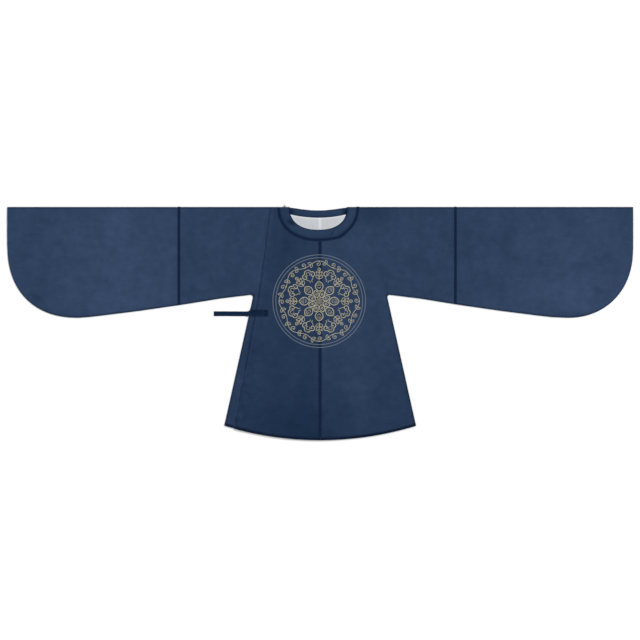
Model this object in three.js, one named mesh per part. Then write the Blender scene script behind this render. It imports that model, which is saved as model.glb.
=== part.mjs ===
// Round-collar short jacket, laid out flat with its front up.
// Each body half is one length of cloth folded over the shoulder. Sleeves, front overlap,
// collar, lining, tie and dark seam tapes are separate pieces sewn to the halves.
// X runs to the wearer's left, Y towards the collar and Z up off the floor, in millimetres.
// Y is 0 on the shoulder fold until the last lines, which centre the jacket on its origin.
import * as THREE from "three";

// Cloth and seams.
const wall = 1.6;                               // a panel's cloth with its backing
const trimWall = 1.0;                           // tapes and lining
const seamGap = 0.3;                            // between neighbouring pieces
const foldGap = 0.8;                            // air inside a pressed fold or closed seam
const edgeHeight = 2 * wall + foldGap;
const edgeRadius = edgeHeight / 2;
const layer = wall + seamGap;                   // lift of a panel laid on another
const foldTurns = [45, 90, 135];                // degrees round a fold, from the front face
const tapeTurns = [40, 80];                     // the same, for a tape that ends on the fold

// Outline, as the jacket lies.
const halfSpan = 1000;
const bodyLength = 744.5;
const hemRadius = 1049;
const hemStep = 3.5;                            // the overlap hangs lower than what it covers
const underarm = { x: 213, y: -280.5 };
const sideHem = 306.5;
const armhole = 212;
const sleeveEdge = [
  { x: 211, depth: 279.2 },
  { x: 320, depth: 292.7 },
  { x: 440, depth: 312 },
  { x: 576, depth: 331.7 },
  { x: 704, depth: 347.7 },
  { x: 740, depth: 351.7 },
];
const sleeveDeepest = 354;
const halves = {
  left: { sign: 1, seam: 432, lowest: 790, cuff: 135, roundness: 2.15 },
  right: { sign: -1, seam: 451, lowest: 772, cuff: 122, roundness: 2.28 },
};

// Neck: superellipses about a centre a little to the wearer's right.
const neck = { shift: -6, roundness: 2.15 };
const neckSeam = { half: 126, front: 105, back: 33.3 };
const neckEdge = { half: 88.5, front: 73.2, back: 10.6 };
const lining = { half: 95, under: 10, rows: 3 };  // under the front band by this much
const coveredEnd = 2;                           // neck cells of the band under its own front end

// Lines down each half beyond the neck: where they cross the fold, the chest and the hem.
const overlapEdge = { fold: 158, chest: 195, hem: 275 };
const sideLine = { fold: armhole, chest: underarm.x, hem: sideHem };
const bodyLines = {
  left: [
    { fold: neckSeam.half + neck.shift, chest: 125, hem: 178 },
    { fold: 152, chest: 155, hem: 221 },
    { fold: 184, chest: 185, hem: 264 },
    sideLine,
  ],
  right: [
    { fold: neckSeam.half - neck.shift, chest: 130, hem: 185 },
    { fold: 145, chest: 162, hem: 230 },
    overlapEdge,
    { fold: 187, chest: 205, hem: 291 },
    sideLine,
  ],
};
const chestY = -279;
const neckCells = 8;
const chestRows = 8;
const skirtRows = 11;
const hemRow = chestRows + skirtRows;
const rootCells = 6;
const sleeveCells = 8;
const cornerCells = 9;

// Soft height of the front over the back, and its largest folds.
const loft = 2.0;
const loftReach = 100;
const cuffReach = 40;                           // a cuff is open, so the cloth stays a little up
const meetReach = { across: 150, down: 60 };    // over which the left front comes up to the overlap
const softFolds = [
  { x: -860, y: -190, turn: 62, long: 130, wide: 48, high: 0.8 },
  { x: -690, y: -120, turn: -28, long: 150, wide: 50, high: 0.7 },
  { x: -560, y: -215, turn: 18, long: 140, wide: 45, high: 0.8 },
  { x: -345, y: -165, turn: 40, long: 120, wide: 42, high: 0.9 },
  { x: -150, y: -470, turn: 80, long: 190, wide: 46, high: 0.7 },
  { x: -80, y: -640, turn: 96, long: 120, wide: 40, high: 0.6 },
  { x: 110, y: -600, turn: 84, long: 170, wide: 48, high: 0.8 },
  { x: 190, y: -420, turn: 102, long: 150, wide: 44, high: 0.6 },
  { x: 320, y: -150, turn: -42, long: 130, wide: 44, high: 0.9 },
  { x: 590, y: -150, turn: 24, long: 160, wide: 50, high: 0.8 },
  { x: 760, y: -235, turn: -14, long: 120, wide: 45, high: 0.7 },
  { x: 880, y: -130, turn: 58, long: 130, wide: 48, high: 0.8 },
];

// Trim.
const centreTapeHalf = 5;
const collarTapeHalf = 4.6;
const sleeveTapeHalf = 4.2;
const hemTapeWidth = 9;
const hemTapeEnds = { centre: 0.2, flap: 2, side: 1.5 };  // clear of the seam and the free edge
const tie = {
  root: { x: -166, y: -339, width: 20.2 },      // where it is sewn on
  free: { x: -340, y: -341.2, width: 15.4 },    // beyond the side seam
  wall: 1.4,
  drop: 7,
  slope: 16,
  narrowing: 7,
};
const button = { x: -112, y: 4.5, radius: 4, clear: 0.2, shank: 1.2, shankLength: 0.6 };

const radians = THREE.MathUtils.degToRad;
const lerp = THREE.MathUtils.lerp;
const plan = (x, y) => new THREE.Vector2(x, y);
const at = (p, z) => new THREE.Vector3(p.x, p.y, z);
const steps = (count) => Array.from({ length: count + 1 }, (_, k) => k / count);

function easeOut(t) {
  const s = THREE.MathUtils.clamp(t, 0, 1);
  return 1 - (1 - s) ** 2;
}

// Depth of the sleeve's lower edge below the fold, at a distance from the centre.
function sleeveDepth(half, x) {
  if (x > half.lowest) {
    const t = Math.min((x - half.lowest) / (halfSpan - half.lowest), 1);
    const rise = (1 - t ** half.roundness) ** (1 / half.roundness);
    return lerp(half.cuff, sleeveDeepest, rise);
  }
  const rows = [...sleeveEdge, { x: half.lowest, depth: sleeveDeepest }];
  const next = Math.max(1, rows.findIndex((row) => row.x >= x));
  const a = rows[next - 1];
  const b = rows[next];
  return lerp(a.depth, b.depth, (x - a.x) / (b.x - a.x));
}

function hemY(x) {
  return hemRadius - Math.sqrt(hemRadius ** 2 - x ** 2) - bodyLength;
}

function sideX(y) {
  const t = (y - underarm.y) / (hemY(sideHem) - underarm.y);
  return lerp(underarm.x, sideHem, t);
}

// Distance in plan to the seam along the sleeve's lower side, the underarm and the side.
function seamDistance(x, y) {
  const far = Math.abs(x);
  const half = x < 0 ? halves.right : halves.left;
  if (far > underarm.x && y > underarm.y - (far - underarm.x)) {
    return sleeveDepth(half, far) + y - edgeRadius;
  }
  if (y > underarm.y) return Math.hypot(underarm.x - far, y - underarm.y) - edgeRadius;
  return sideX(y) - far - edgeRadius;
}

// Share of the full loft: it falls softly to nothing at the fold, the hem and the seams.
function loftShare(x, y) {
  const far = Math.abs(x);
  const distances = [
    -y - edgeRadius,
    y - hemY(Math.min(far, sideHem)),
    halfSpan - far + cuffReach,
    seamDistance(x, y),
  ];
  return distances.reduce((share, distance) => share * easeOut(distance / loftReach), 1);
}

// Height of the outer face of the front where it lies on the back alone.
function frontTop(x, y) {
  let rise = loft;
  for (const fold of softFolds) {
    const turn = radians(fold.turn);
    const along = (x - fold.x) * Math.cos(turn) + (y - fold.y) * Math.sin(turn);
    const across = (y - fold.y) * Math.cos(turn) - (x - fold.x) * Math.sin(turn);
    rise += fold.high * Math.exp(-((along / fold.long) ** 2) - (across / fold.wide) ** 2);
  }
  return edgeHeight + rise * loftShare(x, y);
}

// The left front rises by one layer to meet the overlap at the centre seam.
function leftTop(x, y) {
  const meets = 1 - easeOut(x / meetReach.across);
  return frontTop(x, y) + layer * meets * easeOut((-y - edgeRadius) / meetReach.down);
}

function overlapTop(x, y) {
  return frontTop(x, y) + layer;
}

// Point on a neck line: turn is 0 at the centre and 90 degrees at the shoulder of one half.
function neckPoint(line, depth, turn, sign) {
  const power = 2 / neck.roundness;
  const s = Math.sin(turn);
  const x = neck.shift + sign * line.half * Math.sign(s) * Math.abs(s) ** power;
  return plan(x, -edgeRadius - (depth - edgeRadius) * Math.abs(Math.cos(turn)) ** power);
}

// Turn at which a neck line crosses the centre seam.
function neckStart(line, sign) {
  const share = (-neck.shift * sign) / line.half;
  return Math.asin(Math.sign(share) * Math.abs(share) ** (neck.roundness / 2));
}

// The same turns for the band and its tape as for the necklines, from shoulder to shoulder.
function neckTurns() {
  const right = steps(neckCells).map((t) => -lerp(neckStart(neckSeam, -1), Math.PI / 2, t));
  const left = steps(neckCells).map((t) => lerp(neckStart(neckSeam, 1), Math.PI / 2, t));
  return [...right.toReversed(), ...left.slice(1)];
}

// Closed solid from pairs of outer and inner points, and faces given on the outer side.
function thicken(name, material, points, faces) {
  const count = points.length;
  const index = [];
  const open = new Map();
  for (const [a, b, c, d] of faces) {
    for (const [p, q, r] of [[a, b, c], [a, c, d]]) {
      index.push(p, q, r, r + count, q + count, p + count);
    }
    for (const [p, q] of [[a, b], [b, c], [c, d], [d, a]]) {
      if (!open.delete(`${q} ${p}`)) open.set(`${p} ${q}`, [p, q]);
    }
  }
  for (const [p, q] of open.values()) {
    index.push(q, p, p + count, q, p + count, q + count);
  }
  const positions = [...points.map((p) => p.outer), ...points.map((p) => p.inner)];
  let volume = 0;
  for (let k = 0; k < index.length; k += 3) {
    const [a, b, c] = [positions[index[k]], positions[index[k + 1]], positions[index[k + 2]]];
    volume += a.dot(new THREE.Vector3().crossVectors(b, c));
  }
  if (volume < 0) index.reverse();
  const geometry = new THREE.BufferGeometry().setFromPoints(positions);
  geometry.setIndex(index);
  geometry.computeVertexNormals();
  const mesh = new THREE.Mesh(geometry, material);
  mesh.name = name;
  return mesh;
}

// Faces between rows of point numbers; a gap in a row leaves a gap in the cloth.
function stitchRows(rows) {
  const faces = [];
  for (let i = 0; i + 1 < rows.length; i += 1) {
    for (let j = 0; j + 1 < rows[i].length; j += 1) {
      const face = [rows[i][j], rows[i][j + 1], rows[i + 1][j + 1], rows[i + 1][j]];
      if (face.every((p) => p !== undefined)) faces.push(face);
    }
  }
  return faces;
}

// Points round a pressed edge, from its front face to its back face, about a centre in plan.
function foldPoints(centre, outward, turns) {
  return turns.map((turn) => {
    const reach = (radius) => at(
      centre.clone().addScaledVector(outward, radius * Math.sin(radians(turn))),
      edgeRadius + radius * Math.cos(radians(turn)),
    );
    return { outer: reach(edgeRadius), inner: reach(edgeRadius - wall) };
  });
}

// Moves an outline in by the edge radius, and keeps the way out at each point.
function insetOutline(outline, sign) {
  return outline.map((point, k) => {
    const before = outline[Math.max(k - 1, 0)];
    const after = outline[Math.min(k + 1, outline.length - 1)];
    const along = after.clone().sub(before).normalize();
    const outward = plan(sign * along.y, -sign * along.x);
    return { centre: point.clone().addScaledVector(outward, -edgeRadius), outward };
  });
}

// Cloth folded over the shoulder: front and back grids of plan points, with a closed seam.
// Grid rows run from the fold down; seam lists the closed edge as row, column and way out.
function foldedCloth(name, material, front, back, foldFrom, seam, top) {
  const points = [];
  const add = (point) => points.push(point) - 1;
  const frontRows = front.map((row) => row.map((p) => p && add({
    outer: at(p, top(p.x, p.y)), inner: at(p, top(p.x, p.y) - wall),
  })));
  const backRows = back.map((row) => row.map((p) => p && add({
    outer: at(p, 0), inner: at(p, wall),
  })));
  const up = plan(0, 1);
  const shoulder = front[0].map((p, j) => (
    j < foldFrom ? [] : foldPoints(p, up, foldTurns).map(add)
  ));
  const foldRows = foldTurns.map((_, k) => shoulder.map((turns) => turns[k]));
  const faces = stitchRows([...backRows.toReversed(), ...foldRows.toReversed(), ...frontRows]);
  const seamTurns = seam.map(({ row, column, outward }) => (
    foldPoints(front[row][column], outward, foldTurns).map(add)
  ));
  faces.push(...stitchRows([
    seam.map(({ row, column }) => frontRows[row][column]),
    ...foldTurns.map((_, k) => seamTurns.map((turns) => turns[k])),
    seam.map(({ row, column }) => backRows[row][column]),
  ]));
  return thicken(name, material, points, faces);
}

// Plan grids of one body half, with the sleeve root, and its closed edge.
function bodyPlan(half, lines, lift) {
  const { sign } = half;
  const start = neckStart(neckSeam, sign);
  const cut = { half: neckSeam.half + seamGap / 2 };
  const sideColumn = neckCells + lines.length - 1;
  const rootXs = steps(rootCells).slice(1).map((t) => lerp(armhole, half.seam, t));
  const sidePath = steps(skirtRows).reverse().map((t) => {
    const y = lerp(underarm.y, hemY(sideHem) + lift, t);
    return plan(sign * sideX(y), y);
  });
  const outline = [...sidePath, ...rootXs.map((x) => plan(sign * x, -sleeveDepth(half, x)))];
  const edge = insetOutline(outline, sign);
  const seam = edge.map(({ outward }, k) => ({
    row: Math.max(hemRow - k, chestRows),
    column: sideColumn + Math.max(k - skirtRows, 0),
    outward,
  }));

  const column = (topPoint, chestX, hemX) => {
    const chest = plan(sign * chestX, chestY);
    const hem = plan(sign * hemX, hemY(hemX) + lift);
    return [
      ...steps(chestRows).map((t) => topPoint.clone().lerp(chest, t)),
      ...steps(skirtRows).slice(1).map((t) => chest.clone().lerp(hem, t)),
    ];
  };
  const grid = (depth) => {
    const columns = steps(neckCells).slice(0, -1).map((t) => {
      const p = neckPoint(cut, depth + seamGap / 2, lerp(start, Math.PI / 2, t), sign);
      if (t === 0) p.x = (sign * seamGap) / 2;
      return column(p, lerp(seamGap / 2, lines[0].chest, t), lerp(seamGap / 2, lines[0].hem, t));
    });
    for (const line of lines) {
      columns.push(column(plan(sign * line.fold, -edgeRadius), line.chest, line.hem));
    }
    columns[neckCells][0].x += (sign * seamGap) / 2;
    for (let row = chestRows; row <= hemRow; row += 1) {
      columns[sideColumn][row] = edge[hemRow - row].centre;
    }
    for (let row = 1; row < chestRows; row += 1) {
      columns[sideColumn][row].lerpVectors(
        columns[sideColumn][0], columns[sideColumn][chestRows], row / chestRows,
      );
    }
    rootXs.forEach((x, k) => {
      const low = edge[skirtRows + 1 + k].centre;
      if (k === rootXs.length - 1) low.x = sign * x;
      const high = plan(sign * x, -edgeRadius);
      columns.push(steps(chestRows).map((t) => high.clone().lerp(low, t)));
    });
    return Array.from({ length: hemRow + 1 }, (_, i) => columns.map((points) => points[i]));
  };
  return { front: grid(neckSeam.front), back: grid(neckSeam.back), seam };
}

function bodyHalf(name, material, shape, top) {
  return foldedCloth(name, material, shape.front, shape.back, neckCells, shape.seam, top);
}

// Sleeve beyond the seam: a flat tube whose lower corner is a quarter superellipse.
function sleeveTube(name, material, half) {
  const { sign } = half;
  const straight = steps(sleeveCells).map((t) => lerp(half.seam + seamGap, half.lowest, t));
  const corner = steps(cornerCells).slice(1).map((t) => {
    const turn = (t * Math.PI) / 2;
    return lerp(half.lowest, halfSpan, Math.sin(turn) ** (2 / half.roundness));
  });
  const xs = [...straight, ...corner];
  const edge = insetOutline(xs.map((x) => plan(sign * x, -sleeveDepth(half, x))), sign);
  for (const end of [0, xs.length - 1]) {
    edge[end].outward.set(0, -1);
    edge[end].centre.set(sign * xs[end], edgeRadius - sleeveDepth(half, xs[end]));
  }
  const columns = xs.map((x, k) => (
    steps(chestRows).map((t) => plan(sign * x, -edgeRadius).lerp(edge[k].centre, t))
  ));
  const grid = Array.from({ length: chestRows + 1 }, (_, i) => columns.map((c) => c[i]));
  const seam = edge.map(({ outward }, column) => ({ row: chestRows, column, outward }));
  return foldedCloth(name, material, grid, grid, 0, seam, frontTop);
}

// A strip laid on the front: rows of plan points across it, moved up off the panel.
function laidStrip(name, material, rows, top, thickness) {
  const points = [];
  const numbers = rows.map((row) => row.map((p) => {
    if (p.isVector2) {
      const z = top(p.x, p.y) + seamGap;
      return points.push({ outer: at(p, z + thickness), inner: at(p, z) }) - 1;
    }
    return points.push(p) - 1;
  }));
  return thicken(name, material, points, stitchRows(numbers));
}

// Points of a tape where it goes over the shoulder fold, at one distance from the centre.
function overFold(x, turns, thickness) {
  return turns.map((turn) => {
    const reach = (radius) => new THREE.Vector3(
      x,
      radius * Math.sin(radians(turn)) - edgeRadius,
      edgeRadius + radius * Math.cos(radians(turn)),
    );
    const inner = edgeRadius + seamGap;
    return { outer: reach(inner + thickness), inner: reach(inner) };
  });
}

function sleeveTape(name, material, half, top) {
  const middle = half.seam + seamGap / 2;
  const xs = [-1, 0, 1].map((k) => half.sign * (middle + k * sleeveTapeHalf));
  const low = edgeRadius - sleeveDepth(half, middle);
  const over = xs.map((x) => overFold(x, tapeTurns.toReversed(), trimWall));
  const rows = tapeTurns.map((_, k) => over.map((turns) => turns[k]));
  for (const t of steps(chestRows)) {
    rows.push(xs.map((x) => plan(x, lerp(-edgeRadius, low, t))));
  }
  return laidStrip(name, material, rows, top, trimWall);
}

function centreTape(name, material) {
  const high = -(neckSeam.front + collarTapeHalf + 2 * seamGap);
  const low = hemTapeWidth + seamGap - bodyLength;
  const rows = steps(hemRow).map((t) => (
    [-centreTapeHalf, 0, centreTapeHalf].map((x) => plan(x, lerp(high, low, t)))
  ));
  return laidStrip(name, material, rows, centreTop, trimWall);
}

function centreTop(x, y) {
  return x < 0 ? overlapTop(x, y) : leftTop(x, y);
}

// Hem tape between two distances from the centre, on one half.
function hemTape(name, material, { sign, from, to, cells, lift, top }) {
  const rows = steps(cells).map((t) => {
    const x = sign * lerp(from, to, t);
    return [0, 0.5, 1].map((up) => plan(x, hemY(x) + lift + up * hemTapeWidth));
  });
  return laidStrip(name, material, rows, top, trimWall);
}

// Collar tape over the seam between the band and the fronts, from shoulder to shoulder.
function collarTape(name, material) {
  const offsets = [collarTapeHalf, 0, -collarTapeHalf];
  const rows = neckTurns().map((turn) => offsets.map((out) => {
    const line = { half: neckSeam.half + out };
    return neckPoint(line, neckSeam.front + out, turn, 1);
  }));
  const over = offsets.map((out) => (
    overFold(neck.shift + neckSeam.half + out, tapeTurns, trimWall)
  ));
  rows.push(...tapeTurns.map((_, k) => over.map((points) => points[k])));
  return laidStrip(name, material, rows, centreTop, trimWall);
}

// One strip round the neck: front on top, over the left shoulder, along the back,
// over the right shoulder, and a short end that the front end covers.
function collarBand(name, material) {
  const rim = { half: neckSeam.half - seamGap / 2 };
  const points = [];
  const rows = [];
  const across = (depths, turn) => [0, 0.5, 1].map((t) => {
    const outer = neckPoint(rim, depths.seam - seamGap / 2, turn, 1);
    return outer.lerp(neckPoint(neckEdge, depths.edge, turn, 1), t);
  });
  const addRow = (row) => rows.push(row.map((point) => points.push(point) - 1));
  const frontDepths = { seam: neckSeam.front, edge: neckEdge.front };
  const backDepths = { seam: neckSeam.back, edge: neckEdge.back };
  const turns = neckTurns();

  for (const turn of turns) {
    addRow(across(frontDepths, turn).map((p) => ({
      outer: at(p, centreTop(p.x, p.y)), inner: at(p, centreTop(p.x, p.y) - wall),
    })));
  }
  const goOver = (turn, angles) => {
    const folds = across(backDepths, turn).map((p) => foldPoints(p, plan(0, 1), angles));
    angles.forEach((_, k) => addRow(folds.map((around) => around[k])));
  };
  goOver(Math.PI / 2, foldTurns);
  for (const turn of turns.toReversed()) {
    addRow(across(backDepths, turn).map((p) => ({ outer: at(p, 0), inner: at(p, wall) })));
  }
  goOver(-Math.PI / 2, foldTurns.toReversed());
  for (const turn of turns.slice(0, coveredEnd + 1)) {
    addRow(across(frontDepths, turn).map((p) => ({
      outer: at(p, frontTop(p.x, p.y)), inner: at(p, frontTop(p.x, p.y) - wall),
    })));
  }
  return thicken(name, material, points, stitchRows(rows));
}

// Half of the back lining in the neck, from the back seam to under the front band.
function liningHalfPiece(name, material, sign) {
  const start = neckStart(neckSeam, sign);
  const end = Math.asin((lining.half / neckSeam.half) ** (neck.roundness / 2));
  const under = neckEdge.front + lining.under;
  const points = [];
  const columns = steps(neckCells).map((t) => {
    const turn = lerp(start, end, t);
    const high = neckPoint(neckSeam, neckSeam.back, turn, sign);
    const low = neckPoint(neckSeam, under, turn, sign);
    for (const p of [high, low]) if (t === 0) p.x = (sign * seamGap) / 2;
    return steps(lining.rows).map((s) => high.clone().lerp(low, s));
  });
  const rows = steps(lining.rows).map((_, i) => columns.map((column) => {
    const z = wall + seamGap;
    return points.push({ outer: at(column[i], z + trimWall), inner: at(column[i], z) }) - 1;
  }));
  return thicken(name, material, points, stitchRows(rows));
}

// Flat tie: sewn on the overlap, over its free edge and the side seam, down to the floor.
function sideTie(name, material) {
  const lowEdge = tie.root.y - tie.root.width / 2;
  const down = (lowEdge - chestY) / (hemY(overlapEdge.hem) - chestY);
  const flapX = -lerp(overlapEdge.chest, overlapEdge.hem, down) - seamGap;
  const seamX = -sideX(lowEdge) - seamGap;
  const onFlap = steps(4).map((t) => lerp(tie.root.x, flapX, t));
  const onStrip = steps(3).map((t) => lerp(flapX - tie.drop, seamX, t));
  const falling = steps(4).slice(1).map((t) => seamX - t * tie.slope);
  const onFloor = steps(6).slice(1).map((t) => lerp(seamX - tie.slope, tie.free.x, t));
  const rest = (x) => {
    if (x >= flapX) return overlapTop(x, tie.root.y) + seamGap;
    const strip = frontTop(Math.max(x, seamX + edgeRadius), tie.root.y) + seamGap;
    return strip * (1 - THREE.MathUtils.smoothstep(seamX - x, 0, tie.slope));
  };
  const points = [];
  const rows = [...onFlap, ...onStrip, ...falling, ...onFloor].map((x) => {
    const z = rest(x);
    const narrowed = THREE.MathUtils.smoothstep(seamX - x, 0, tie.narrowing);
    const middle = lerp(tie.root.y, tie.free.y, narrowed);
    const width = lerp(tie.root.width, tie.free.width, narrowed);
    return [-0.5, 0.5].map((side) => {
      const p = plan(x, middle + side * width);
      return points.push({ outer: at(p, z + tie.wall), inner: at(p, z) }) - 1;
    });
  });
  return thicken(name, material, points, stitchRows(rows));
}

// Ball button with its shank, turned about the shank's axis, which points to the collar.
function ballButton(name, material) {
  const shankEnd = -(button.radius + button.shankLength);
  const profile = [plan(0, shankEnd), plan(button.shank, shankEnd)];
  const first = Math.asin(button.shank / button.radius);
  for (const t of steps(8)) {
    const turn = lerp(first, Math.PI, t);
    const x = t === 1 ? 0 : button.radius * Math.sin(turn);
    profile.push(plan(x, -button.radius * Math.cos(turn)));
  }
  const mesh = new THREE.Mesh(new THREE.LatheGeometry(profile, 16), material);
  mesh.name = name;
  mesh.position.set(button.x, button.y, button.radius + button.clear);
  return mesh;
}

const navyCloth = new THREE.MeshStandardMaterial({ color: 0x32486a, roughness: 0.9, metalness: 0 });
const darkTape = new THREE.MeshStandardMaterial({ color: 0x14233f, roughness: 0.85, metalness: 0 });
const paleLining = new THREE.MeshStandardMaterial({ color: 0xc2c3c7, roughness: 0.7, metalness: 0 });
const greyMetal = new THREE.MeshStandardMaterial({ color: 0x8d9197, roughness: 0.4, metalness: 0.6 });

const leftPlan = bodyPlan(halves.left, bodyLines.left, 0);
const rightPlan = bodyPlan(halves.right, bodyLines.right, hemStep);
const edgeColumn = neckCells + bodyLines.right.indexOf(overlapEdge);
const overlapRows = rightPlan.front.map((row, i) => (
  row.slice(0, edgeColumn + 1).map((p) => plan(p.x, i === hemRow ? p.y - hemStep : p.y))
));

const hemEnd = sideHem - edgeRadius;
const flapEnd = overlapEdge.hem - hemTapeEnds.flap;
const sideStart = overlapEdge.hem + hemTapeEnds.side;
const hemTapes = {
  overlap: { sign: -1, from: hemTapeEnds.centre, to: flapEnd, cells: 8, lift: 0, top: overlapTop },
  left: { sign: 1, from: hemTapeEnds.centre, to: hemEnd, cells: 9, lift: 0, top: leftTop },
  side: { sign: -1, from: sideStart, to: hemEnd, cells: 1, lift: hemStep, top: frontTop },
};

const jacket = new THREE.Group();
jacket.add(
  bodyHalf("body_left", navyCloth, leftPlan, leftTop),
  bodyHalf("body_right", navyCloth, rightPlan, frontTop),
  laidStrip("front_overlap", navyCloth, overlapRows, frontTop, wall),
  sleeveTube("sleeve_left", navyCloth, halves.left),
  sleeveTube("sleeve_right", navyCloth, halves.right),
  collarBand("collar_band", navyCloth),
  liningHalfPiece("lining_left", paleLining, 1),
  liningHalfPiece("lining_right", paleLining, -1),
  centreTape("centre_tape", darkTape),
  collarTape("collar_tape", darkTape),
  sleeveTape("sleeve_tape_left", darkTape, halves.left, frontTop),
  sleeveTape("sleeve_tape_right", darkTape, halves.right, frontTop),
  hemTape("hem_tape_overlap", darkTape, hemTapes.overlap),
  hemTape("hem_tape_left", darkTape, hemTapes.left),
  hemTape("hem_tape_side", darkTape, hemTapes.side),
  sideTie("side_tie", darkTape),
  ballButton("collar_button", greyMetal),
);

// The origin is under the middle of the whole jacket.
const buttonTop = button.y + button.radius;
jacket.position.y = (bodyLength - buttonTop) / 2;

export default jacket;
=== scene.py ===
import math
import bpy
import numpy as np
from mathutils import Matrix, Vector


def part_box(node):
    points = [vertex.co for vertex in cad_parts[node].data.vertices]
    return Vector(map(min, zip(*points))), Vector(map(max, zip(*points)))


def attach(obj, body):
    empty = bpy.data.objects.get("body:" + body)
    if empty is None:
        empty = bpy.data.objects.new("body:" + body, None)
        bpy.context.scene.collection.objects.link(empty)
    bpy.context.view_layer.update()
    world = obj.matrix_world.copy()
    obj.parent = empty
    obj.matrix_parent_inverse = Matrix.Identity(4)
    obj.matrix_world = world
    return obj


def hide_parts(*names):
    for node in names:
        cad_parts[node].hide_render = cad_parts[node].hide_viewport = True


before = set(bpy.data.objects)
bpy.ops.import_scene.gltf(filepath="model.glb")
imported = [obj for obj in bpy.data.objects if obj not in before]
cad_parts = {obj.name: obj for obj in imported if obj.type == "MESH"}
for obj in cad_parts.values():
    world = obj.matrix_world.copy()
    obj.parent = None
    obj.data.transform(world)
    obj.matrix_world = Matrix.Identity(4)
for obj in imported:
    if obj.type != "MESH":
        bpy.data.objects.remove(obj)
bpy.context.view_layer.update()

# Body halves. Each is one length of navy cloth folded over the shoulder, cut with the root of
# its sleeve, sewn closed under the arm and down the side, and left open at the hem.
# Sizes are millimetres: x to the wearer's left of the centre seam, y up from the shoulder fold.
MM = 0.001
FOLD_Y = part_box("sleeve_left")[1].y
WALL, SEAM_GAP = 1.6, 0.3
EDGE_HEIGHT = 4.0
EDGE_RADIUS = EDGE_HEIGHT / 2
LAYER = WALL + SEAM_GAP
FOLD_TURNS = np.radians(np.linspace(0, 180, 9)[1:-1])
CELL = 5.0
HALF_SPAN, BODY_LENGTH = 1000.0, 745.1
HEM_RADIUS, HEM_STEP = 1049.0, 1.0
UNDERARM_X, UNDERARM_Y, SIDE_HEM = 213.0, -280.5, 306.5
UNDERARM_CURVE = 11.0
ARMHOLE, CHEST_Y = 212.0, -279.0
SLEEVE_DEEPEST = 354.0
SLEEVE_EDGE = [(211, 279.2), (320, 292.7), (440, 312), (576, 331.7), (704, 347.7), (740, 351.7)]
LEFT = {"sign": 1, "seam": 432.0, "lowest": 790.0, "cuff": 135.0, "roundness": 2.15}
RIGHT = {"sign": -1, "seam": 451.0, "lowest": 772.0, "cuff": 122.0, "roundness": 2.28}
NECK_SHIFT, NECK_ROUNDNESS = -6.0, 2.15
NECK_SEAM = {"half": 126.0, "front": 105.0, "back": 33.3}
NECK_BULGE = {"turn": 0.53, "width": 0.175, "out": 3.6}
# Lines down each half: distances from the centre seam at the fold, the chest and the hem.
OVERLAP_EDGE = (158.0, 195.0, 275.0)
SIDE_LINE = (ARMHOLE, UNDERARM_X, SIDE_HEM)
LEFT_LINES = [(120.0, 125.0, 178.0), (152.0, 155.0, 221.0), (184.0, 185.0, 264.0), SIDE_LINE]
UNDER_LINES = [(132.0, 130.0, 185.0), (133.5, 148.0, 215.0)]
STRIP_LINES = [(187.0, 205.0, 291.0), SIDE_LINE]
NECK_CELLS, CHEST_ROWS, SKIRT_ROWS = 32, 56, 84
HEM_ROW = CHEST_ROWS + SKIRT_ROWS
LOFT, LOFT_REACH, CUFF_REACH = 2.0, 100.0, 40.0
MEET_ACROSS, MEET_DOWN = 150.0, 60.0

# Large soft folds of the front: x, y, turn in degrees, half length, half width, height.
SOFT_FOLDS = [
    (-860, -190, 62, 130, 48, 0.8), (-690, -120, -28, 150, 50, 0.7),
    (-560, -215, 18, 140, 45, 0.8), (-345, -165, 40, 120, 42, 0.9),
    (-150, -470, 80, 190, 46, 0.7), (-80, -640, 96, 120, 40, 0.6),
    (110, -600, 84, 170, 48, 0.8), (190, -420, 102, 150, 44, 0.6),
    (320, -150, -42, 130, 44, 0.9), (590, -150, 24, 160, 50, 0.8),
    (760, -235, -14, 120, 45, 0.7), (880, -130, 58, 130, 48, 0.8),
]
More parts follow.
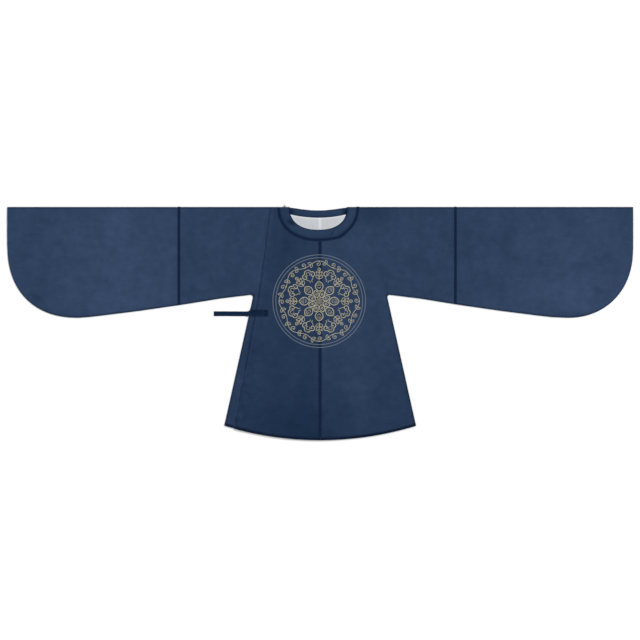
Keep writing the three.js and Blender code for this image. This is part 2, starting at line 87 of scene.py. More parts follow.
# Creases of the front: x, y, turn, half length, half width, height, bend.
FRONT_CREASES = [
    (-905, -120, 84, 70, 9, 0.55, 8), (-838, -262, 38, 62, 10, -0.5, -6),
    (-770, -60, 8, 85, 11, 0.5, 5), (-735, -205, -34, 74, 9, 0.6, 9),
    (-640, -285, 14, 80, 10, -0.55, 4), (-598, -140, 66, 58, 8, 0.5, -7),
    (-520, -70, -12, 66, 10, 0.45, 6), (-500, -250, 44, 54, 9, 0.6, 5),
    (-420, -150, 88, 96, 8, -0.45, 3), (-395, -255, -22, 52, 9, 0.65, -6),
    (-330, -85, 30, 70, 11, 0.5, 8), (-292, -215, 48, 66, 9, 0.75, 7),
    (-246, -262, 60, 40, 8, 0.7, 4), (-262, -130, -70, 60, 10, -0.5, -5),
    (-185, -205, 74, 64, 9, 0.4, 6), (-205, -330, 78, 70, 9, 0.5, 5),
    (-128, -420, 66, 60, 10, 0.45, -8), (-190, -520, 84, 92, 10, 0.5, 6),
    (-70, -520, 100, 76, 9, -0.4, 5), (-232, -610, 70, 58, 9, 0.55, -5),
    (-120, -650, 22, 52, 10, 0.4, 6), (70, -455, 96, 84, 10, 0.45, 7),
    (150, -340, 112, 56, 9, 0.5, -6), (205, -300, 128, 44, 8, 0.75, 4),
    (120, -540, 76, 66, 11, -0.45, 5), (215, -560, 104, 84, 9, 0.55, 6),
    (60, -640, 62, 54, 10, 0.45, -6), (170, -665, 12, 60, 9, 0.4, 5),
    (262, -640, 98, 46, 9, 0.5, 4), (190, -180, 104, 66, 9, 0.45, -6),
    (255, -232, -52, 58, 8, 0.8, 6), (300, -110, -28, 76, 10, 0.55, 7),
    (352, -210, -40, 56, 9, 0.6, -5), (398, -90, 80, 60, 9, -0.5, 5),
    (480, -205, 34, 70, 10, 0.6, 8), (530, -95, -18, 84, 11, 0.5, 6),
    (598, -270, 12, 62, 9, 0.6, -5), (650, -150, 58, 66, 10, -0.55, 7),
    (715, -60, 6, 78, 10, 0.45, 5), (742, -288, -26, 58, 9, 0.55, 6),
    (820, -180, 36, 84, 9, 0.6, -8), (868, -285, -58, 46, 9, -0.5, 4),
    (925, -85, 92, 58, 10, 0.55, 6),
]
# Creases of the hidden back, a little up off the floor, in the same columns.
BACK_CREASES = [
    (-870, -170, 50, 90, 15, 0.34, 9), (-700, -230, -20, 110, 17, 0.36, -8),
    (-545, -110, 24, 96, 14, 0.32, 7), (-400, -215, 52, 84, 15, 0.36, 6),
    (-270, -120, -38, 92, 14, 0.34, -7), (-248, -240, 58, 54, 12, 0.38, 5),
    (-130, -300, 82, 120, 16, 0.34, 9), (-215, -470, 74, 96, 14, 0.36, -8),
    (-95, -600, 98, 88, 15, 0.32, 7), (70, -230, 94, 96, 16, 0.34, -6),
    (150, -430, 106, 110, 15, 0.36, 9), (60, -560, 70, 84, 14, 0.32, 6),
    (225, -610, 96, 76, 13, 0.36, -5), (250, -245, -56, 60, 12, 0.38, 6),
    (330, -150, -30, 96, 15, 0.34, 8), (470, -240, 30, 88, 14, 0.36, -7),
    (620, -140, -16, 110, 16, 0.32, 8), (780, -240, 26, 92, 15, 0.36, 7),
    (890, -120, 76, 80, 14, 0.34, -6),
]


def ease_out(t):
    return 1 - (1 - np.clip(t, 0, 1)) ** 2


def bell(value, middle, width, power=2):
    """A soft hump, 1 at its middle; a higher power makes it flatter there."""
    return np.exp(-((value - middle) / width) ** power)


def sleeve_depth(half, far):
    """Depth of a sleeve's lower edge below the fold, at a distance from the centre."""
    lowest, power = half["lowest"], half["roundness"]
    t = np.clip((far - lowest) / (HALF_SPAN - lowest), 0, 1)
    corner = half["cuff"] + (SLEEVE_DEEPEST - half["cuff"]) * (1 - t ** power) ** (1 / power)
    edge = np.array([*SLEEVE_EDGE, (lowest, SLEEVE_DEEPEST)])
    return np.where(far > lowest, corner, np.interp(far, *edge.T))


def hem_y(far):
    """Height of the hem, which curves up towards the sides."""
    return HEM_RADIUS - np.sqrt(HEM_RADIUS ** 2 - np.minimum(far, SIDE_HEM) ** 2) - BODY_LENGTH


def side_x(y):
    """Distance of the side seam from the centre, from the underarm to the hem."""
    return UNDERARM_X + (SIDE_HEM - UNDERARM_X) * (y - UNDERARM_Y) / (hem_y(SIDE_HEM) - UNDERARM_Y)


def seam_distance(x, y):
    """Distance to the seam along the sleeve's lower side, the underarm and the side."""
    far = np.abs(x)
    depth = np.where(x < 0, sleeve_depth(RIGHT, far), sleeve_depth(LEFT, far))
    corner = np.hypot(UNDERARM_X - far, y - UNDERARM_Y) - EDGE_RADIUS
    lower = np.where(y > UNDERARM_Y, corner, side_x(y) - far - EDGE_RADIUS)
    under_sleeve = (far > UNDERARM_X) & (y > UNDERARM_Y - (far - UNDERARM_X))
    return np.where(under_sleeve, depth + y - EDGE_RADIUS, lower)


def loft_share(x, y):
    """Share of the full loft: it falls softly to nothing at the fold, the hem and the seams."""
    far = np.abs(x)
    share = ease_out((-y - EDGE_RADIUS) / LOFT_REACH)
    share *= ease_out(seam_distance(x, y) / LOFT_REACH)
    share *= ease_out((y - hem_y(far)) / LOFT_REACH)
    return share * ease_out((HALF_SPAN - far + CUFF_REACH) / LOFT_REACH)


def crease_field(x, y, creases):
    """Sum of soft ridges and troughs; one with a bend curves away from its own line."""
    total = np.zeros(np.shape(x))
    for cx, cy, turn, long, wide, high, *bend in creases:
        cos, sin = math.cos(math.radians(turn)), math.sin(math.radians(turn))
        along = ((x - cx) * cos + (y - cy) * sin) / long
        across = ((y - cy) * cos - (x - cx) * sin - sum(bend) * along ** 2) / wide
        total += high * np.exp(-along ** 2 - across ** 2)
    return total


def front_top(x, y):
    """Height of the outer face of the front where it lies on the back alone."""
    share = loft_share(x, y)
    creases = crease_field(x, y, FRONT_CREASES) * share ** 0.5
    return EDGE_HEIGHT + (LOFT + crease_field(x, y, SOFT_FOLDS)) * share + creases


def left_top(x, y):
    """The left front rises by one layer to meet the overlap at the centre seam."""
    meets = 1 - ease_out(x / MEET_ACROSS)
    return front_top(x, y) + LAYER * meets * ease_out((-y - EDGE_RADIUS) / MEET_DOWN)


def back_face(x, y):
    """Height of the outer face of the back, which lies on the floor but for its creases."""
    return np.maximum(crease_field(x, y, BACK_CREASES), 0) * loft_share(x, y)


CLOTH_RIM, RIM_ANGLE, SHARP_ANGLE = 0.45, 55, 50
UP = np.array([0.0, 1.0])


def plan_points(x, y):
    return np.stack(np.broadcast_arrays(x, y), -1)


def raised(plan, height):
    return np.concatenate([plan, height[..., None]], -1)


def height_on(top, plan):
    """Height of a surface above the points of a plan."""
    return top(plan[..., 0], plan[..., 1])


def in_metres(points):
    return (np.asarray(points) * MM + (0, FOLD_Y, 0)).tolist()


def mesh_object(name, points, faces, material, sharp=SHARP_ANGLE):
    """A mesh object from points in millimetres, smooth but for its sharper edges."""
    mesh = bpy.data.meshes.new(name)
    mesh.from_pydata(in_metres(points), [], faces)
    mesh.validate()
    mesh.shade_smooth()
    mesh.set_sharp_from_angle(angle=math.radians(sharp))
    mesh.materials.append(material)
    piece = bpy.data.objects.new(name, mesh)
    bpy.context.collection.objects.link(piece)
    return piece


def keep_values(piece, name, values):
    """Keeps a value at each point of a mesh, for its material to read."""
    layer = piece.data.attributes.new(name, "FLOAT", "POINT")
    layer.data.foreach_set("value", np.asarray(values, np.float32))


class Shell:
    """A wall of cloth: points in pairs, outer and inner, and the faces of the outer side."""

    def __init__(self):
        self.outer, self.inner, self.faces = [], [], []

    def add(self, outer, inner):
        """Adds point pairs, leaves out the missing ones, and returns their numbers."""
        known = ~np.isnan(outer[..., 0])
        numbers = np.full(known.shape, -1)
        numbers[known] = sum(map(len, self.outer)) + np.arange(known.sum())
        self.outer.append(outer[known])
        self.inner.append(inner[known])
        return numbers

    def lay(self, plan, outer, inner):
        """Adds the points of a plan at the heights of its outer and inner faces."""
        return self.add(raised(plan, outer), raised(plan, inner))

    def stitch(self, rows):
        quads = np.stack([rows[:-1, :-1], rows[:-1, 1:], rows[1:, 1:], rows[1:, :-1]], -1)
        quads = quads.reshape(-1, 4)
        self.faces.append(quads[(quads >= 0).all(1)])

    def mesh(self, name, material, tone=None, rim=CLOTH_RIM):
        """Closes the open edges with rims, turns the faces outwards and makes the object."""
        outer, inner = np.vstack(self.outer), np.vstack(self.inner)
        count = len(outer)
        faces = np.vstack(self.faces)
        a, b = faces.ravel(), np.roll(faces, -1, axis=1).ravel()
        open_edge = ~np.isin(a * count + b, b * count + a)
        a, b = a[open_edge], b[open_edge]
        rims = np.stack([b, a, a + count, b + count], -1)
        faces = np.vstack([faces, faces[:, ::-1] + count, rims])
        points = np.vstack([outer, inner])
        p, q, r, s = (points[faces[:, k]] for k in range(4))
        volume = np.einsum("ij,ij->", p, np.cross(q, r)) + np.einsum("ij,ij->", p, np.cross(r, s))
        if volume < 0:
            faces = faces[:, ::-1]
        piece = mesh_object(name, points, faces.tolist(), material)
        keep_values(piece, "tone", tone(*points[:, :2].T) if tone else np.ones(len(points)))
        bevel = piece.modifiers.new("rounded rim", "BEVEL")
        bevel.width, bevel.segments = rim * MM, 2
        bevel.limit_method, bevel.angle_limit = "ANGLE", math.radians(RIM_ANGLE)
        return piece


def dress(piece, slot, *nodes):
    """A piece of the jacket rides on its one body and stands for its solids."""
    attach(piece, "root")
    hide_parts(*nodes)


def around(centre, outward, radius, turns):
    """Points round a pressed edge from its front face to its back face, turn by turn."""
    radius = np.broadcast_to(radius, centre.shape[:1])
    plan = centre + np.sin(turns)[:, None, None] * radius[:, None] * outward
    return raised(plan, EDGE_RADIUS + np.cos(turns)[:, None] * radius)


def fold_around(shell, centre, outward, turns=FOLD_TURNS):
    return shell.add(around(centre, outward, EDGE_RADIUS, turns),
                     around(centre, outward, EDGE_RADIUS - WALL, turns))


def inset(path, sign):
    """Moves an outline in by the edge radius, and gives the way out at each of its points."""
    along = np.gradient(path, axis=0)
    outward = plan_points(sign * along[:, 1], -sign * along[:, 0])
    outward /= np.linalg.norm(outward, axis=1)[:, None]
    return path - outward * EDGE_RADIUS, outward


def neck_point(line, depth, turn, sign, roundness=NECK_ROUNDNESS, fall=None):
    """Point on a neck line: turn is 0 at the centre and a quarter circle at the shoulder."""
    power = 2 / roundness
    s, c = np.sin(turn), np.abs(np.cos(turn))
    x = NECK_SHIFT + sign * line * np.sign(s) * np.abs(s) ** power
    return plan_points(x, -EDGE_RADIUS - (depth - EDGE_RADIUS) * c ** (fall or power))


def front_neck(out, turn, sign):
    """Point beside the front neck seam, which swells a little on the wearer's left."""
    out = out + NECK_BULGE["out"] * bell(sign * turn, NECK_BULGE["turn"], NECK_BULGE["width"])
    return neck_point(NECK_SEAM["half"] + out, NECK_SEAM["front"] + out, turn, sign)


def back_neck(out, turn, sign):
    return neck_point(NECK_SEAM["half"] + out, NECK_SEAM["back"] + out, turn, sign)


def neck_start(sign):
    """Turn at which a neck line meets the centre seam, for the neck sits a little aside."""
    share = -NECK_SHIFT * sign / NECK_SEAM["half"]
    return math.asin(math.copysign(abs(share) ** (NECK_ROUNDNESS / 2), share))


def neck_turns(sign, share):
    """Turns along a half's neck line, from the centre seam to the shoulder."""
    return neck_start(sign) + (math.pi / 2 - neck_start(sign)) * share


def between(a, b, count):
    """Points from a to b for each pair, as a new first axis."""
    t = np.linspace(0, 1, count + 1)[:, None, None]
    return a + (b - a) * t


def line_cells(near, far):
    """Cells between two lines down a half."""
    return max(1, round((far[2] - near[2]) / CELL))


def body_plan(half, lines, lift):
    """Plan grids of a half's front and back, rows from the fold down, and its closed edge."""
    sign, gap = half["sign"], SEAM_GAP / 2
    table = np.array(lines)
    beyond = []
    for near, far in zip(table, table[1:]):
        beyond.extend(np.linspace(near, far, line_cells(near, far), endpoint=False))
    beyond = np.vstack([beyond, table[-1:]])
    share = np.arange(NECK_CELLS) / NECK_CELLS
    low = gap + share[:, None] * (table[0, 1:] - gap)
    chest_x = sign * np.concatenate([low[:, 0], beyond[:, 1]])
    hem_x = np.concatenate([low[:, 1], beyond[:, 2]])
    chest = plan_points(chest_x, CHEST_Y)
    hem = plan_points(sign * hem_x, hem_y(hem_x) + lift)
    side = len(chest_x) - 1

    side_y = np.linspace(hem_y(SIDE_HEM) + lift, UNDERARM_Y, SKIRT_ROWS + 1)
    root_x = np.linspace(ARMHOLE, half["seam"], round((half["seam"] - ARMHOLE) / CELL) + 1)[1:]
    path = np.vstack([plan_points(sign * side_x(side_y), side_y),
                      plan_points(sign * root_x, -sleeve_depth(half, root_x))])
    edge, outward = inset(round_corner(path, SKIRT_ROWS, UNDERARM_CURVE), sign)
    edge[-1, 0] = sign * half["seam"]
    outward[-1] = (0, -1)

    def grid(neck):
        neck[0, 0] = sign * gap
        fold = plan_points(sign * beyond[:, 0], -EDGE_RADIUS)
        fold[0, 0] += sign * gap
        top = np.vstack([neck, fold])
        rows = np.concatenate([between(top, chest, CHEST_ROWS), between(chest, hem, SKIRT_ROWS)[1:]])
        rows[CHEST_ROWS:, side] = edge[SKIRT_ROWS::-1]
        rows[:CHEST_ROWS + 1, side] = between(top[side:], edge[SKIRT_ROWS][None], CHEST_ROWS)[:, 0]
        high = plan_points(sign * root_x, -EDGE_RADIUS)
        root = np.full((HEM_ROW + 1, len(root_x), 2), np.nan)
        root[:CHEST_ROWS + 1] = between(high, edge[SKIRT_ROWS + 1:], CHEST_ROWS)
        return np.concatenate([rows, root], 1)

    row = np.maximum(HEM_ROW - np.arange(len(edge)), CHEST_ROWS)
    column = side + np.maximum(np.arange(len(edge)) - SKIRT_ROWS, 0)
    turn = neck_turns(sign, share)
    return {"front": grid(front_neck(gap, turn, sign)), "back": grid(back_neck(gap, turn, sign)),
            "seam": (row, column, edge, outward), "fold_from": NECK_CELLS}


def round_corner(path, corner, reach):
    """Eases a path round one of its corners, within a reach along it on each side."""
    length = np.concatenate([[0], np.cumsum(np.linalg.norm(np.diff(path, axis=0), axis=1))])
    from_corner = length - length[corner]
    ends = [[np.interp(length[corner] + side, length, path[:, k]) for k in (0, 1)]
            for side in (-reach, reach)]
    a, b = np.array(ends)
    t = (from_corner + reach) / (2 * reach)
    near = np.abs(from_corner) < reach
    t = t[near][:, None]
    eased = path.copy()
    eased[near] = (1 - t) ** 2 * a + 2 * t * (1 - t) * path[corner] + t ** 2 * b
    return eased


def folded_cloth(name, material, plan, top, tone):
    """Cloth folded over the shoulder: front and back panels, the fold and the closed seam."""
    shell = Shell()
    front, back = plan["front"], plan["back"]
    high, low = height_on(top, front), height_on(back_face, back)
    front_rows = shell.lay(front, high, high - WALL)
    back_rows = shell.lay(back, low, low + WALL)
    beyond_neck = np.arange(front.shape[1])[:, None] >= plan["fold_from"]
    over = fold_around(shell, np.where(beyond_neck, front[0], np.nan), UP)
    shell.stitch(np.vstack([back_rows[::-1], over[::-1], front_rows]))
    row, column, edge, outward = plan["seam"]
    seam = fold_around(shell, edge, outward)
    shell.stitch(np.vstack([front_rows[row, column], seam, back_rows[row, column]]))
    return shell.mesh(name, material, tone)


class Finish:
    """A new material with its Principled shader, and short ways to add and join its nodes."""

    def __init__(self, name, **values):
        self.material = bpy.data.materials.new(name)
        self.material.use_nodes = True
        self.tree = self.material.node_tree
        self.shader = self.tree.nodes["Principled BSDF"]
        for label, value in values.items():
            self.shader.inputs[label.replace("_", " ")].default_value = value

    def node(self, kind, *inputs, **settings):
        new = self.tree.nodes.new("ShaderNode" + kind)
        for key, value in settings.items():
            setattr(new, key, value)
        for k, value in enumerate(inputs):
            if isinstance(value, bpy.types.NodeSocket):
                self.tree.links.new(value, new.inputs[k])
            elif value is not None:
                new.inputs[k].default_value = value
        return new

    def place(self):
        return self.node("TexCoord").outputs["Object"]

    def noise(self, place, *settings):
        """Noise from 0 to 1; the settings are its scale, detail and roughness."""
        return self.node("TexNoise", place, None, *settings).outputs["Fac"]

    def calculate(self, operation, *inputs):
        return self.node("Math", *inputs, operation=operation).outputs[0]

    def around_one(self, value, swing):
        """Turns a value from 0 to 1 into a factor that swings about 1."""
        return self.calculate("MULTIPLY_ADD", value, 2 * swing, 1 - swing)

    def scaled(self, colour, factor):
        return self.node("VectorMath", colour, None, None, factor, operation="SCALE").outputs[0]

    def link(self, socket, target):
        self.tree.links.new(socket, self.shader.inputs[target])

    def relief(self, height, strength, distance):
        """Lifts the surface by a height from 0 to 1 over a distance in metres."""
        bump = self.node("Bump")
        bump.inputs["Strength"].default_value = strength
        bump.inputs["Distance"].default_value = distance
        self.tree.links.new(height, bump.inputs["Height"])
        self.link(bump.outputs[0], "Normal")


# Noise in the cloth: scale, detail and roughness; slubs run long along the sleeves.
DRIFT_SCALE, THREAD_DRIFT = 45.0, (0.0012, 0.0012, 0.0)
CLOUD_NOISE, MOTTLE_NOISE = (13.0, 6.0, 0.62), (42.0, 3.0, 0.6, None, 0.7)
SLUB_SCALES, SLUB_FROM = (26.0, 210.0, 60.0), 0.58
# Share of the mottle, painted shade between the threads, and the strength of their relief.
MOTTLE_SHARE, THREAD_SHADE, THREAD_STRENGTH = 0.8, 0.07, 0.35
SHEEN_ROUGHNESS = 0.45


def weave(finish, place, threads):
    """Height of a plain weave, from 0 to 1: warp and weft threads pass over each other in turn."""
    drift = finish.node("TexNoise", place, None, DRIFT_SCALE, 1.0).outputs["Color"]
    place = finish.node("VectorMath", drift, THREAD_DRIFT, place, operation="MULTIPLY_ADD")
    xyz = finish.node("SeparateXYZ", place.outputs[0]).outputs
    lines = [finish.calculate("MULTIPLY", xyz[k], threads) for k in (0, 1)]
    whole = [finish.calculate("FLOOR", value) for value in lines]
    over = finish.calculate("PINGPONG", finish.calculate("ADD", *whole), 1.0)
    waves = [finish.calculate("SINE", finish.calculate("MULTIPLY", value, math.pi))
             for value in lines]
    warp, weft = (finish.calculate("ABSOLUTE", wave) for wave in waves)
    return finish.node("Mix", over, None, warp, weft).outputs[0]


def woven(name, colour, threads, clouds, slubs, roughness, sheen, relief=0.0003, gloss=0.1,
          shade_hue=(0.0, 0.0, 0.0)):
    """Woven cloth: its tone with painted light and shade, mottled dye, slub streaks, painted shade
    between its threads, and their relief.
    """
    finish = Finish(name, Roughness=roughness, Specular_IOR_Level=gloss, Sheen_Weight=sheen,
                    Sheen_Roughness=SHEEN_ROUGHNESS)
    place = finish.place()
    height = weave(finish, place, threads)
    stretched = finish.node("Mapping", place, None, None, SLUB_SCALES).outputs[0]
    streak = finish.calculate("SUBTRACT", finish.noise(stretched, 1.0, 2.0), SLUB_FROM)
    slub = finish.calculate("MULTIPLY_ADD", finish.calculate("MAXIMUM", streak, 0.0), slubs, 1.0)
    tone = finish.node("Attribute", attribute_name="tone").outputs["Fac"]
    for factor in (finish.around_one(finish.noise(place, *CLOUD_NOISE), clouds),
                   finish.around_one(finish.noise(place, *MOTTLE_NOISE), MOTTLE_SHARE * clouds),
                   slub, finish.around_one(height, THREAD_SHADE)):
        tone = finish.calculate("MULTIPLY", tone, factor)
    # Darker tone, its painted shade included, shifts towards the shade hue.
    depth = finish.calculate("SUBTRACT", 1.0, tone)
    hued = finish.node("VectorMath", shade_hue, depth, finish.scaled(colour, tone),
                       operation="MULTIPLY_ADD")
    finish.link(hued.outputs[0], "Base Color")
    finish.relief(height, THREAD_STRENGTH, relief)
    return finish.material


NAVY = (0.0196, 0.0389, 0.0858)
THREADS_PER_METRE = 1100.0
# Soft patches of tone as the cloth lies, with painted light and shade among them: x, y, turn,
# half length, half width, change.
TONE_AND_LIGHT_PATCHES = [
    (-900, -150, 0, 160, 170, 0.09), (-640, -150, 0, 170, 220, 0.28),
    (-620, -305, -8, 200, 45, 0.12), (-425, -150, 90, 170, 30, -0.06),
    (840, -170, 0, 240, 220, 0.22), (560, -150, 0, 100, 190, 0.05),
    (640, -305, 8, 200, 45, 0.11), (150, -100, 0, 140, 50, 0.09),
    (-108, -110, 85, 110, 36, -0.18), (-120, -380, 80, 260, 90, -0.06),
    (466, -118, 90, 44, 24, -0.11), (604, -95, 80, 60, 26, -0.09), (800, -285, 0, 130, 45, 0.12),
    (0, -738, 0, 120, 22, -0.13), (175, -570, 85, 110, 40, -0.07), (855, -322, -12, 60, 20, 0.13),
    (-950, -130, 90, 110, 40, -0.06), (-905, -270, 30, 70, 40, -0.05), (590, -100, 90, 60, 40, -0.05),
    (-700, -312, 2, 260, 24, 0.06), (30, -500, 90, 130, 30, -0.05), (205, -560, 78, 90, 26, -0.05),
    (0, -715, 0, 340, 105, -0.22), (0, -560, 0, 320, 160, -0.07),
    (165, -10, 0, 75, 50, -0.26), (300, -640, 100, 150, 30, -0.16),
    (40, -60, 0, 110, 60, -0.08), (-484, -200, 88, 150, 30, 0.12),
    (-70, -680, 10, 170, 75, -0.11), (130, -650, 90, 120, 35, 0.13),
    (235, -560, 100, 170, 40, -0.09), (-60, -590, 88, 34, 48, -0.05),
    (-222, -595, 80, 45, 22, -0.07), (-172, -55, 80, 50, 12, 0.05), (-212, -459, 0, 8, 7, -0.22),
    (800, -156, 0, 42, 28, 0.09), (790, -322, 0, 50, 22, 0.09), (470, -155, 0, 42, 26, -0.08),
    (922, -150, 40, 18, 10, -0.20), (893, -268, -30, 18, 10, -0.19), (808, -86, -30, 22, 9, -0.11),
    (-836, -111, -25, 16, 10, -0.18), (-906, -290, -20, 24, 10, -0.15), (-897, -35, 0, 18, 9, -0.10),
    (-942, -160, 40, 20, 9, -0.11), (-760, -250, 60, 22, 10, -0.09), (720, -120, 30, 24, 10, -0.09),
]
# Painted shade along the pressed edges, where the cloth rounds away: how dark, and how wide.
PRESSED_EDGE_SHADE, PRESSED_EDGE_SHADE_WIDTH = 0.45, 3.0
# Painted shade and painted light on the right half beside the overlap's free edge; the shadow fill
# lightens the shadow the edge casts low down. The change, and the middle and width of its reach
# out from the edge and down the front.
STRIP_SHADE = {"change": 0.22, "out": (6, 11), "down": (-430, 120)}
STRIP_LIGHT = {"change": 0.12, "out": (5, 4), "down": (-175, 60), "dim": (-55, 50)}
STRIP_SHADOW_FILL = {"change": 0.5, "out": (0, 2.6), "from": -500, "reach": 60}


# Tone of the cloth from its patches, with painted light and shade among them.
def tone_and_light_patches(x, y):
    return 1 + crease_field(x, y, TONE_AND_LIGHT_PATCHES)


def body_tone(x, y):
    """Tone of a half or a sleeve: soft patches with painted light and shade, and a line of painted
    shade along its pressed edges.
    """
    inside = np.maximum(np.minimum(-y - EDGE_RADIUS, seam_distance(x, y)), 0)
    return tone_and_light_patches(x, y) * (1 - PRESSED_EDGE_SHADE * bell(inside, 0, PRESSED_EDGE_SHADE_WIDTH))


def flap_edge(y):
    """Distance of the overlap's free edge from the centre."""
    fold, chest, hem = OVERLAP_EDGE
    hem_height = float(hem_y(hem))
    upper = fold + (chest - fold) * (-EDGE_RADIUS - y) / (-EDGE_RADIUS - CHEST_Y)
    lower = chest + (hem - chest) * (CHEST_Y - y) / (CHEST_Y - hem_height)
    return np.where(y > CHEST_Y, upper, lower)


def right_tone(x, y):
    """The right half has a little painted shade and painted light beside the free edge of the overlap.
    """
    out = -x - flap_edge(y)
    shade = STRIP_SHADE["change"] * bell(out, *STRIP_SHADE["out"]) * bell(y, *STRIP_SHADE["down"])
    light = bell(y, *STRIP_LIGHT["down"]) - bell(y, *STRIP_LIGHT["dim"], 4)
    light = STRIP_LIGHT["change"] * bell(out, *STRIP_LIGHT["out"]) * light
    shadow_fill = STRIP_SHADOW_FILL["change"] * bell(out, *STRIP_SHADOW_FILL["out"])
    shadow_fill = shadow_fill * ease_out((STRIP_SHADOW_FILL["from"] - y) / STRIP_SHADOW_FILL["reach"])
    return body_tone(x, y) * (1 - shade + light + shadow_fill)


navy = woven("navy cloth", NAVY, THREADS_PER_METRE, clouds=0.26, slubs=0.7, roughness=0.88,
             sheen=0.05, shade_hue=(-0.0080, -0.002, 0.013))
# Lines inside the free edge, as how far in at the fold and from the chest down, and beside it.
FLAP_STEPS = [(21.5, 29.5), (20.5, 27.0), (19.5, 24.5), (16.0, 18.5), (14.6, 15.5), (14.0, 14.0),
              (12.5, 12.5), (8.5, 8.5), (5.5, 5.5), (3.0, 3.0), (1.5, 1.5)]
BESIDE_STEPS = (1.0, 2.2, 4.0)
flap_lines = [tuple(np.subtract(OVERLAP_EDGE, (high, low, low))) for high, low in FLAP_STEPS]
beside_lines = [tuple(np.add(OVERLAP_EDGE, step)) for step in BESIDE_STEPS]
right_lines = [*UNDER_LINES, *flap_lines, OVERLAP_EDGE, *beside_lines, *STRIP_LINES]
left_plan = body_plan(LEFT, LEFT_LINES, 0.0)
right_plan = body_plan(RIGHT, right_lines, HEM_STEP)
body_left = folded_cloth("body_left_cloth", navy, left_plan, left_top, body_tone)
body_right = folded_cloth("body_right_cloth", navy, right_plan, front_top, right_tone)
dress(body_left, "navy_cloth", "body_left")
dress(body_right, "navy_cloth", "body_right")


# Front overlap. An outer front panel of the same cloth, sewn on at the centre seam and the
# shoulder, with a slanted free edge that is turned under and held by a line of stitches.
STITCH_LINE, HEM_TURN = 14.0, 27.0
TURN_RISE, TURN_SLOPE, EDGE_ROUND = 0.45, 7.0, 4.0
GROOVE_DEPTH, GROOVE_WIDTH = 0.35, 1.6
PUCKER_SLANT = 0.25
# Waves of the free edge: how far, how long, and where each begins.
EDGE_WAVES = [(0.75, 13.0, 0.0), (0.55, 5.3, 1.0), (0.4, 29.0, 0.0)]
TIE_CROSSING = (-341, 22)
WAVES_FROM, WAVES_REACH = 60.0, 9.0
# Puckers of the turned edge: y, distance inside the edge, half length, half width, height.
PUCKERS = [
    (-96, 9, 9, 5, 0.5), (-128, 8, 8, 5, 0.6), (-157, 10, 9, 5, 0.5), (-190, 8, 8, 5, 0.7),
    (-218, 10, 9, 5, 0.5), (-251, 8, 8, 6, 0.7), (-283, 11, 9, 6, 0.6), (-306, 9, 8, 5, 0.5),
    (-379, 12, 9, 6, 0.7), (-418, 16, 9, 6, 0.8), (-440, 11, 7, 5, 0.6), (-461, 17, 8, 7, 1.2),
    (-497, 14, 8, 6, 0.8), (-531, 16, 9, 7, 1.4), (-561, 11, 10, 8, 2.0), (-585, 17, 7, 7, 1.0),
    (-608, 14, 9, 8, 1.5), (-632, 18, 8, 7, 1.2), (-672, 10, 10, 8, 2.0), (-703, 22, 8, 10, 1.2),
]


def puckers(x, y):
    """Rise of the turned edge over its hidden hem turn, and its small lifts."""
    inside = flap_edge(y) + x
    rise = TURN_RISE * (1 - ease_out((inside - HEM_TURN) / TURN_SLOPE + 0.5))
    rise = rise * (1 - np.exp(-np.maximum(inside, 0) / EDGE_ROUND))
    for middle, place, long, wide, high in PUCKERS:
        slanted = place + PUCKER_SLANT * (y - middle)
        rise = rise + high * bell(y, middle, long) * bell(inside, slanted, wide)
    return rise - GROOVE_DEPTH * bell(inside, STITCH_LINE, GROOVE_WIDTH)


def edge_wander(y):
    """Small sideways wander of the free edge, with none where the tie crosses it."""
    wave = sum(far * np.sin(y / long + start) for far, long, start in EDGE_WAVES)
    return wave * (1 - bell(y, *TIE_CROSSING, 4)) * ease_out(-y / WAVES_FROM)


def overlap_top(x, y):
    return front_top(x, y) + LAYER + puckers(x, y)


# Strength of the painted shade line along the free edge, and of the painted highlight on the ridge
# inside it, by depth below the shoulder.
EDGE_SHADE_STRENGTH = np.array([(0, 0.3), (100, 0.3), (190, 0.15), (300, 0.5), (370, 0.7), (420, 0.5),
                          (455, 0.75), (505, 0.7), (530, 0.25), (600, 0.3), (640, 0.12),
                          (700, 0.3), (745, 0.3)])
EDGE_RIDGE_HIGHLIGHT = np.array([(0, 0.07), (300, 0.10), (370, 0.05), (500, 0.02), (745, 0)])
OVERLAP_TONE, EDGE_SHADE_WIDTH = 0.84, 1.8
# Painted shade in the stitch groove and at the hem turn; place and width of the ridge highlight.
GROOVE_SHADE, GROOVE_SHADE_WIDTH = 0.16, 1.4
TURN_SHADE, TURN_SHADE_WIDTH = 0.10, 2.2
RIDGE_HIGHLIGHT_PLACE, RIDGE_HIGHLIGHT_WIDTH = 7, 4
# Painted light on the lit side and painted shade on the shaded side of a pucker: how far out in its
# own size, and the change.
PUCKER_LIGHT_AND_SHADE = [(0.55, 0.10), (-0.55, -0.07)]
# How far the puckers' painted light and shade spread, along the edge and across it.
PUCKER_SHADE_LONG, PUCKER_SHADE_WIDE = 0.7, 0.8


